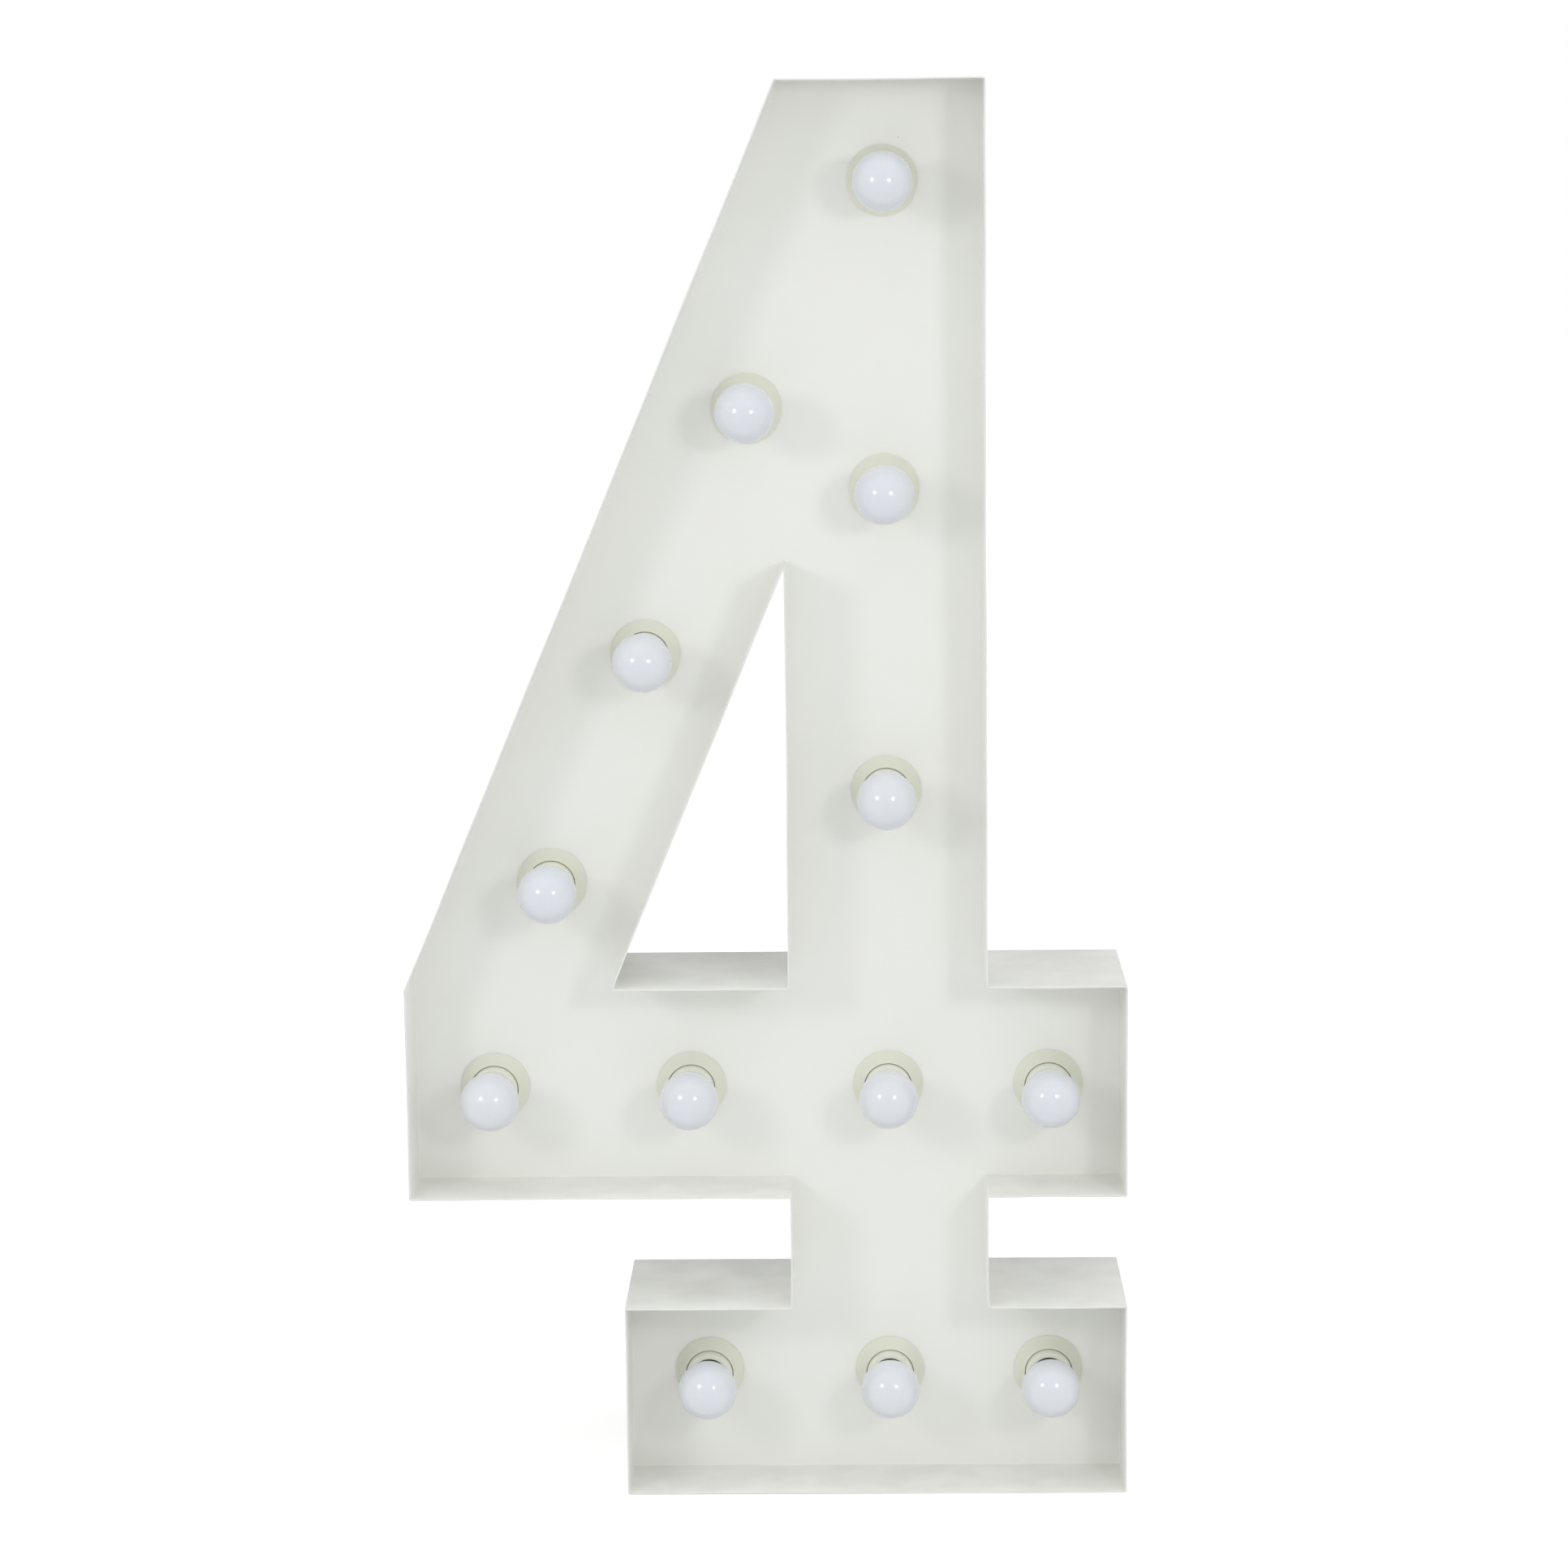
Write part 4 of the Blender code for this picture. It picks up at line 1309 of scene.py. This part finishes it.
    def holder(self) -> Mesh:
        """The holder's moulding: skirt, rounded mouth, bore, and a back with a groove round its waist."""
        rim = 0.0009
        bore = self.bore_radius + self.thread + self.foil * 2
        mouth = self.mouth_out
        front = arc((self.skirt_radius - rim, mouth - rim), rim, 0, QUARTER, steps=5)
        front += arc((self.mouth_radius + rim, mouth - rim), rim, QUARTER, math.pi * 0.9, steps=5)
        waist = self.skirt_radius * 0.85
        groove = waist * 0.93
        steps = (self.back_out * share for share in (0.75, 0.62, 0.5, 0.45))
        groove_back, groove_front, waist_front, ledge = steps
        profile = [
            (0.0, self.back_out),
            (waist - rim, self.back_out),
            (waist, self.back_out + rim),
            (waist, groove_back),
            (groove, groove_back + rim / 2),
            (groove, groove_front),
            (waist, groove_front + rim / 2),
            (waist, waist_front),
            (self.skirt_radius, ledge),
            *front,
            (bore, mouth - self.mouth_depth),
            (bore, self.floor_out),
            (0.0, self.floor_out),
        ]
        return turned(profile, IVORY, 64)

    def nut(self) -> Mesh:
        """The lock nut behind the panel, with ribs to grip it by."""
        front = DEPTHS.panel - DEPTHS.panel_back - GAP
        back, inner = front - self.nut_thick, self.skirt_radius + GAP / 2
        outer, edge = self.nut_radius - self.rib, 0.0006
        profile = [(inner, back), (outer - edge, back), (outer, back + edge), (outer, front - edge),
                   (outer - edge, front), (inner, front)]
        blank = turned(profile, IVORY, 60, closed=True)
        rib = (self.rib * 1.6, self.rib, self.nut_thick - edge * 2)
        middle = (front + back) / 2
        return run_tree(grip_tree(), blank, IVORY, Count=self.nut_ribs, Radius=outer, Rib=rib, Height=middle)

    def liner(self) -> Mesh:
        """The holder's threaded liner."""
        top = self.mouth_out - self.mouth_depth * 0.8
        bottom = self.bulb_end + self.cap_length * 0.28
        return self.sleeve(self.bore_radius + self.thread / 2, top - bottom, bottom)

    def cap(self) -> Mesh:
        """The bulb's threaded cap, open at its contact end and rolled over the neck at the other."""
        bottom = self.bulb_end + self.cap_length * 0.22
        top = self.bulb_end + self.cap_length
        return self.sleeve(self.cap_radius - self.foil - self.thread / 2, top - bottom, bottom)

    def sleeve(self, radius: float, length: float, bottom: float) -> Mesh:
        """A threaded sleeve.

        Args:
            radius: Its mean inner radius.
            length: Its length.
            bottom: Height of its lower end.

        Returns:
            The mesh.
        """
        rings = round(length / self.pitch * 8) + 1
        mesh = outward(run_tree(
            thread_tree(), bpy.data.meshes.new("seed"), NICKEL, Radius=radius, Depth=self.thread,
            Pitch=self.pitch, Length=length, Run_In=self.pitch / 2, Wall=self.foil, Sides=49, Rings=rings,
        ))
        mesh.transform(Matrix.Translation((0, 0, bottom)))
        return mesh

    def globe(self) -> Mesh:
        """The opal globe with its neck."""
        rim = self.bulb_end + self.cap_length + GAP
        profile = arc((0.0, self.globe_out), self.globe_radius, QUARTER, QUARTER - self.neck_meets, steps=40)
        start = Vector((*profile[-1], 0))
        end = Vector((self.neck_radius, rim + self.neck_length, 0))
        reach = (start - end).length * 0.45
        way = Vector((math.cos(self.neck_meets), -math.sin(self.neck_meets), 0))
        curve = interpolate_bezier(start, start + way * reach, end + Vector((0, reach, 0)), end, 10)
        fillet = 0.0012
        profile += [(point.x, point.y) for point in curve[1:]]
        profile += arc((self.neck_radius - fillet, rim + fillet), fillet, 0, -QUARTER, steps=4)
        profile[0] = (0.0, profile[0][1])
        return turned([*profile, (0.0, rim)], OPAL, 64)

    def insulator(self) -> Mesh:
        """The glass between the cap and its contact."""
        low = self.bulb_end + 0.0024
        high = self.bulb_end + self.cap_length * 0.3
        radius = self.cap_radius - self.thread - self.foil * 2
        profile = [(0.0, low), (radius * 0.62, low), (radius * 0.72, low + 0.0004), (radius, high - 0.001)]
        return turned([*profile, (radius, high), (0.0, high)], GLASS_BLACK, 48)

    def contact(self) -> Mesh:
        """The solder button at the bulb's end."""
        end, radius, height = self.bulb_end, self.contact_radius, self.contact_height
        crown = arc((0.0, end + radius * 2), radius * 2, -QUARTER, -QUARTER + 0.45, steps=6)
        profile = [(0.0, end), *crown[1:], (radius, end + height * 0.6), (radius, end + height)]
        return turned([*profile, (0.0, end + height)], SOLDER, 32)

    def tongue(self) -> Mesh:
        """The sprung tongue on the floor of the bore, which the bulb's contact presses."""
        width, thick = self.tongue_width, self.tongue_thick
        top, low = self.bulb_end - GAP - thick, self.floor_out + thick / 2
        line = [(-0.009, low), (-0.006, low), (-0.0035, (low + top) / 2), (-0.001, top), (0.002, top),
                (0.004, top - thick)]
        loops = []
        for across, height in line:
            half = width / 2 if across < 0 else width / 2 - across / 3
            corners = ((-half, height - thick), (half, height - thick), (half, height), (-half, height))
            loops.append([Vector((across, side, level)) for side, level in corners])
        return lofted(loops)


# Power inlet, switch and earth stud


def rounded(size: Point, *radii: float, steps: int = 4) -> list[Point]:
    """Corner points of a rectangle with rounded corners.

    Args:
        size: Its width and height.
        *radii: Radius of every corner, or of each of them, from the lower left on.
        steps: Straight stretches round each corner.

    Returns:
        The points, anticlockwise.
    """
    x, z = size[0] / 2, size[1] / 2
    points = []
    each = radii * 4 if len(radii) == 1 else radii
    for i, (radius, (side, end)) in enumerate(zip(each, ((-1, -1), (1, -1), (1, 1), (-1, 1)))):
        start = math.pi + QUARTER * i
        points += arc((side * (x - radius), end * (z - radius)), radius, start, start + QUARTER, steps)
    return points


def narrowed(size: Point, by: float) -> Point:
    """A width and height, both less by a length."""
    return size[0] - by, size[1] - by


def stacked(levels: Iterable[tuple[Profile, float]], place: Vector) -> Mesh:
    """A solid through loops at several depths behind a place, all with as many points."""
    return lofted([[place + Vector((x, depth, z)) for x, z in loop] for loop, depth in levels])


@dataclass
class Fitting:
    """Something that snaps into the rear cover: a body behind a flange, with a hollow in its face.

    Attributes:
        node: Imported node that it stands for.
        body: Width and height of the body.
        flange: Width and height of the flange.
        hollow: Width and height of the hollow.
        thick: Thickness of the flange.
        depth: Depth of the body.
        hollow_depth: Depth of the hollow.
        corners: Radii of the hollow's corners, from the lower left.
        corner: Radius of the other corners.
        edge: Rounding of the flange's edge.
    """

    node: str
    body: Point
    flange: Point
    hollow: Point
    thick: float
    depth: float
    hollow_depth: float
    corners: tuple[float, ...]
    corner: float = 0.0012
    edge: float = 0.0006

    def centre(self) -> Vector:
        """Where its axis meets the back of the cover."""
        return on_plane(self.node, DEPTHS.cover)

    def face(self) -> float:
        """Height of its face behind the cover."""
        return GAP + self.thick

    def cutout(self) -> list[Point]:
        """Opening that the cover has for it."""
        middle, slack = self.centre(), GAP * 2
        return [(middle.x + x, middle.z + z) for x, z in rounded(narrowed(self.body, -slack), self.corner)]

    def build(self) -> None:
        """Makes the moulding."""
        edge, face, corner, wide = self.edge, self.face(), self.corner, self.corner * 1.5
        levels = [
            (rounded(narrowed(self.body, edge * 2), corner), -self.depth),
            (rounded(self.body, corner), -self.depth + edge),
            (rounded(self.body, corner), GAP),
            (rounded(self.flange, wide), GAP),
            (rounded(self.flange, wide), face - edge),
            (rounded(narrowed(self.flange, edge * 0.6), wide), face - edge * 0.3),
            (rounded(narrowed(self.flange, edge * 2), corner), face),
            (rounded(narrowed(self.hollow, -edge), *self.corners), face),
            (rounded(self.hollow, *self.corners), face - edge / 2),
            (rounded(self.hollow, *self.corners), face - self.hollow_depth),
        ]
        mesh = stacked(levels, self.centre())
        publish(self.node.replace("_body", "_moulding"), mesh, BLACK, replaces=[self.node], sharp=30.0)


@dataclass
class Inlet(Fitting):
    """The power inlet with its three pins.

    Attributes:
        pin: Width and height of a pin.
        pin_length: How far it stands out of the hollow's floor.
        tip: Length of its chamfered tip.
    """

    pin: Point = (0.002, 0.004)
    pin_length: float = 0.0145
    tip: float = 0.0009

    def build(self) -> None:
        """Makes the moulding and the pins."""
        super().build()
        floor = self.face() - self.hollow_depth
        end = floor + self.pin_length
        small = (self.pin[0] * 0.4, self.pin[1] * 0.75)
        bend = self.pin[0] * 0.15
        levels = [(self.pin, floor + GAP / 2), (self.pin, end - self.tip), (small, end)]
        loops = [(rounded(size, bend), depth) for size, depth in levels]
        for pole in ("live", "neutral", "earth"):
            node = f"inlet_pin_{pole}"
            mesh = stacked(loops, on_plane(node, DEPTHS.cover))
            publish(f"{node}_blade", mesh, PIN_NICKEL, replaces=[node])


@dataclass
class Switch(Fitting):
    """The rocker switch.

    Attributes:
        rest: Tilt of the rocker at rest.
        pivot: Depth of its pivot under the switch's face.
        length: Its length.
        rise: Height of its ends over the pivot.
        dish: Height of its middle.
        side: How far it reaches below the pivot.
        mark: Height of a mark over its face.
        mark_size: Middle radius of the off mark, and half the length of the on mark.
        mark_stroke: Width of their lines.
    """

    rest: float = math.radians(-8)
    pivot: float = 0.002
    length: float = 0.014
    rise: float = 0.0036
    dish: float = 0.0024
    side: float = 0.001
    mark: float = 0.00005
    mark_size: float = 0.0016
    mark_stroke: float = 0.00035

    def rocker_place(self) -> Matrix:
        """Matrix from the rocker's frame, with X across, Y along and Z out of its face."""
        middle = self.centre() + Vector((0, self.face() - self.pivot, 0))
        upright = Matrix(((-1, 0, 0), (0, 0, 1), (0, 1, 0))).to_4x4()
        return Matrix.Translation(middle) @ Matrix.Rotation(self.rest, 4, "X") @ upright

    def height(self, along: float) -> float:
        """Height of the rocker's dished face at a place along it."""
        share = abs(along) / (self.length / 2)
        return self.dish + (self.rise - self.dish) * share ** 1.6

    def build(self) -> None:
        """Makes the moulding, the rocker and its marks for off and on."""
        super().build()
        publish("rocker_face", self.rocker(), ROCKER_RED, "rocker", ["switch_rocker"], sharp=30.0)
        offset, size, stroke = self.length * 0.27, self.mark_size, self.mark_stroke
        inner, outer = size - stroke / 2, size + stroke / 2
        section = [(inner, -stroke), (outer, -stroke), (outer, self.mark), (inner, self.mark)]
        ring = placed(turned(section, MARK_WHITE, 40, closed=True), Matrix.Translation((0, offset, 0)))
        line = rounded((stroke, size * 2), stroke / 3)
        bar = lofted([[Vector((x, y - offset, z)) for x, y in line] for z in (-stroke, self.mark)])
        for label, mesh in (("off", ring), ("on", bar)):
            mark = placed(self.laid(mesh), self.rocker_place())
            publish(f"rocker_mark_{label}", mark, MARK_WHITE, "rocker")

    def laid(self, mesh: Mesh) -> Mesh:
        """The same mesh, made level with Y along the rocker, bent onto its dished face."""
        for vertex in mesh.vertices:
            vertex.co.z += self.height(vertex.co.y)
        return mesh

    def rocker(self) -> Mesh:
        """The rocker, dished along its length and softened at its edges."""
        half, reach = self.hollow[0] / 2 - GAP, self.length / 2
        edge, steps = 0.0004, 16
        face = [-reach + self.length * i / steps for i in range(steps + 1)]
        loops = []
        for across, drop in ((-half, edge), (-half + edge, 0.0), (half - edge, 0.0), (half, edge)):
            foot = drop - self.side
            loop = [Vector((across, -reach + drop, foot)), Vector((across, reach - drop, foot))]
            for along in reversed(face):
                held = max(-reach + drop, min(reach - drop, along))
                loop.append(Vector((across, held, self.height(along) - drop)))
            loops.append(loop)
        return placed(lofted(loops), self.rocker_place())


@dataclass
class EarthStud:
    """The earth stud behind the panel: washer, hexagon nut and threaded shank.

    Attributes:
        shank: Radius of the shank.
        length: Its length behind the panel.
        nut: Radius and height of the nut.
        washer: Thickness of the washer.
        grooves: Number of grooves that stand for its thread.
        bevel: Width of the nut's bevels.
    """

    shank: float = 0.002
    length: float = 0.014
    nut: Point = (0.0043, 0.004)
    washer: float = 0.0008
    grooves: int = 14
    bevel: float = 0.0004

    def build(self) -> None:
        """Makes the pieces."""
        spin = Matrix.Rotation(-QUARTER, 4, "X")
        place = Matrix.Translation(on_plane("earth_stud", DEPTHS.panel_back)) @ spin
        radius, top = self.nut
        root, tip = self.shank * 0.88, self.shank * 0.7
        step = (self.length - top) / self.grooves
        rod = [(0.0, GAP), (self.shank, GAP), (self.shank, top)]
        for i in range(self.grooves):
            rod += [(root, top + step * (i + 0.3)), (self.shank, top + step * (i + 0.8))]
        rod += [(tip, self.length), (0.0, self.length)]
        publish("earth_shank", placed(turned(rod, ZINC, 24), place), ZINC, replaces=["earth_stud"])
        low, bevel, fine = GAP + self.washer, self.bevel, self.bevel / 4
        inner = self.shank + fine
        hexagon = [(inner, low), (radius - bevel, low), (radius, low + bevel), (radius, top - bevel),
                   (radius - bevel, top), (inner, top)]
        publish("earth_nut", placed(turned(hexagon, ZINC, 6, closed=True), place), ZINC)
        disc = [(inner, GAP), (radius, GAP), (radius, low - fine), (inner, low - fine)]
        publish("earth_washer", placed(turned(disc, ZINC, 32, edge=fine, closed=True), place), ZINC)


WIRES = {"wire_live": BROWN, "wire_neutral": BLUE, "wire_earth": GREEN}


def dress_wires() -> None:
    """Gives each packed wire its insulation."""
    for node, finish in WIRES.items():
        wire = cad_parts[node]
        wire.data.materials.clear()
        wire.data.materials.append(finish.material())
        LOG.info("%s dressed", node)


# Stage


@dataclass(frozen=True)
class SoftBox:
    """A soft light that points at the middle of the number.

    Attributes:
        name: The light's name.
        azimuth: Direction that it stands in, from the front towards +X, in degrees.
        distance: Level distance from the number's middle.
        height: Height over the floor.
        size: Width of the light.
        power: Its power.
    """

    name: str
    azimuth: float
    distance: float
    height: float
    size: float
    power: float

    def build(self, aim: Vector) -> None:
        """Adds the light.

        Args:
            aim: The point that it faces.
        """
        turn = math.radians(self.azimuth)
        place = Vector((math.sin(turn) * self.distance, -math.cos(turn) * self.distance, self.height))
        lamp = bpy.data.lights.new(self.name, "AREA")
        lamp.shape = "DISK"
        lamp.size = self.size
        lamp.energy = self.power
        item = add_object(self.name, lamp)
        item.location = place
        item.rotation_euler = (aim - place).to_track_quat("-Z", "Y").to_euler()
        LOG.info("%s at %s", self.name, tuple(place))


@dataclass
class Stage:
    """Camera, lights, white surroundings and the floor.

    Attributes:
        place: Camera's place.
        turn: Its rotation in degrees.
        lens: Focal length in millimetres.
        sensor: Width of the sensor in millimetres.
        lights: The soft lights.
        ambient: Strength of the surroundings that light the number, in front, at the sides and behind.
        horizon: Directions along +Y between which the light of the sides gives way to that from behind.
        floor_size: Width of the floor.
        floor_drop: How far the floor lies under the number.
        floor_glow: Emission that lifts the floor to white for the camera.
    """

    place: Sequence[float] = (0.0863, -3.49135, 1.1792)
    turn: Sequence[float] = (80.69139744612502, 0.6189135839732383, 1.0474846146604078)
    lens: float = 95.18
    sensor: float = 36.0
    lights: Sequence[SoftBox] = (
        SoftBox("key_left", -37.0, 2.8, 1.55, 0.6, 8.0),
        SoftBox("key_right", 27.0, 2.6, 1.35, 0.42, 7.0),
    )
    ambient: Triple = (0.7, 1.42, 0.46)
    horizon: Point = (-0.08, 0.12)
    floor_size: float = 30.0
    floor_drop: float = 0.0002
    floor_glow: float = 0.38

    def build(self) -> None:
        """Sets the stage."""
        scene = bpy.context.scene
        scene.view_settings.view_transform = "Standard"
        low, high = (Vector(corner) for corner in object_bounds())
        for light in self.lights:
            light.build((low + high) / 2)
        self.add_camera()
        self.add_surroundings()
        self.add_floor()

    def add_camera(self) -> None:
        """Camera at the photograph's viewpoint."""
        lens = bpy.data.cameras.new("view")
        lens.lens = self.lens
        lens.sensor_width = self.sensor
        camera = add_object("view", lens)
        camera.location = self.place
        camera.rotation_euler = [math.radians(angle) for angle in self.turn]
        bpy.context.scene.camera = camera

    def straight_rays(self, tree: NodeTree) -> Node:
        """What is 1 for camera, glossy and transmission rays."""
        rays = add_node(tree, "ShaderNodeLightPath").outputs
        seen = add_math(tree, "MAXIMUM", rays["Is Camera Ray"], rays["Is Glossy Ray"])
        return add_math(tree, "MAXIMUM", seen, rays["Is Transmission Ray"])

    def add_surroundings(self) -> None:
        """White world. Where it only lights the number it is brightest at the sides and weakest behind."""
        world = bpy.data.worlds.new("white_surroundings")
        world.use_nodes = True
        tree = world.node_tree
        direction = add_node(tree, "ShaderNodeTexCoord").outputs["Generated"]
        depth = add_node(tree, "ShaderNodeSeparateXYZ", {0: direction}).outputs["Y"]
        ahead, aside, behind = self.ambient
        front = add_range(tree, depth, -1.0, 0.0, ahead, aside)
        light = add_range(tree, depth, *self.horizon, front, behind)
        strength = add_range(tree, self.straight_rays(tree), 0.0, 1.0, light, 1.0)
        back = tree.nodes["Background"]
        feed(tree, back.inputs["Color"], WHITE)
        feed(tree, back.inputs["Strength"], strength)
        bpy.context.scene.world = world

    def add_floor(self) -> None:
        """White floor that keeps the number's shadow."""
        half = self.floor_size / 2
        corners = [(x * half, y * half, -self.floor_drop) for x, y in ((-1, -1), (1, -1), (1, 1), (-1, 1))]
        mesh = bpy.data.meshes.new("floor")
        mesh.from_pydata(corners, [], [(0, 1, 2, 3)])
        paper = bpy.data.materials.new("white_floor")
        paper.use_nodes = True
        tree = paper.node_tree
        looks = {
            "Base Color": (0.9, 0.9, 0.9),
            "Roughness": 1.0,
            "Specular IOR Level": 0.0,
            "Emission Color": WHITE,
            "Emission Strength": add_math(tree, "MULTIPLY", self.straight_rays(tree), self.floor_glow),
        }
        for label, value in looks.items():
            feed(tree, tree.nodes["Principled BSDF"].inputs[label], value)
        mesh.materials.append(paper)
        floor = add_object("floor", mesh)
        floor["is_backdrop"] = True


def main() -> None:
    """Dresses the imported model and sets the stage."""
    logging.basicConfig(level=logging.INFO, format="%(name)s: %(message)s")
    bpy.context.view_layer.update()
    inlet = Inlet("inlet_body", (0.027, 0.0198), (0.031, 0.0245), (0.0242, 0.0162), 0.002, 0.025, 0.016,
                  (0.001, 0.001, 0.0045, 0.0045))
    switch = Switch("switch_body", (0.0126, 0.0188), (0.015, 0.0214), (0.0104, 0.016), 0.0016, 0.017, 0.0065,
                    (0.0006, 0.0006, 0.0006, 0.0006))
    SideWalls().build()
    Plates().build([inlet.cutout(), switch.cutout()])
    for number in lamp_numbers():
        Lamp(number).build()
    inlet.build()
    switch.build()
    EarthStud().build()
    dress_wires()
    Stage().build()


if __name__ == "__main__":
    main()
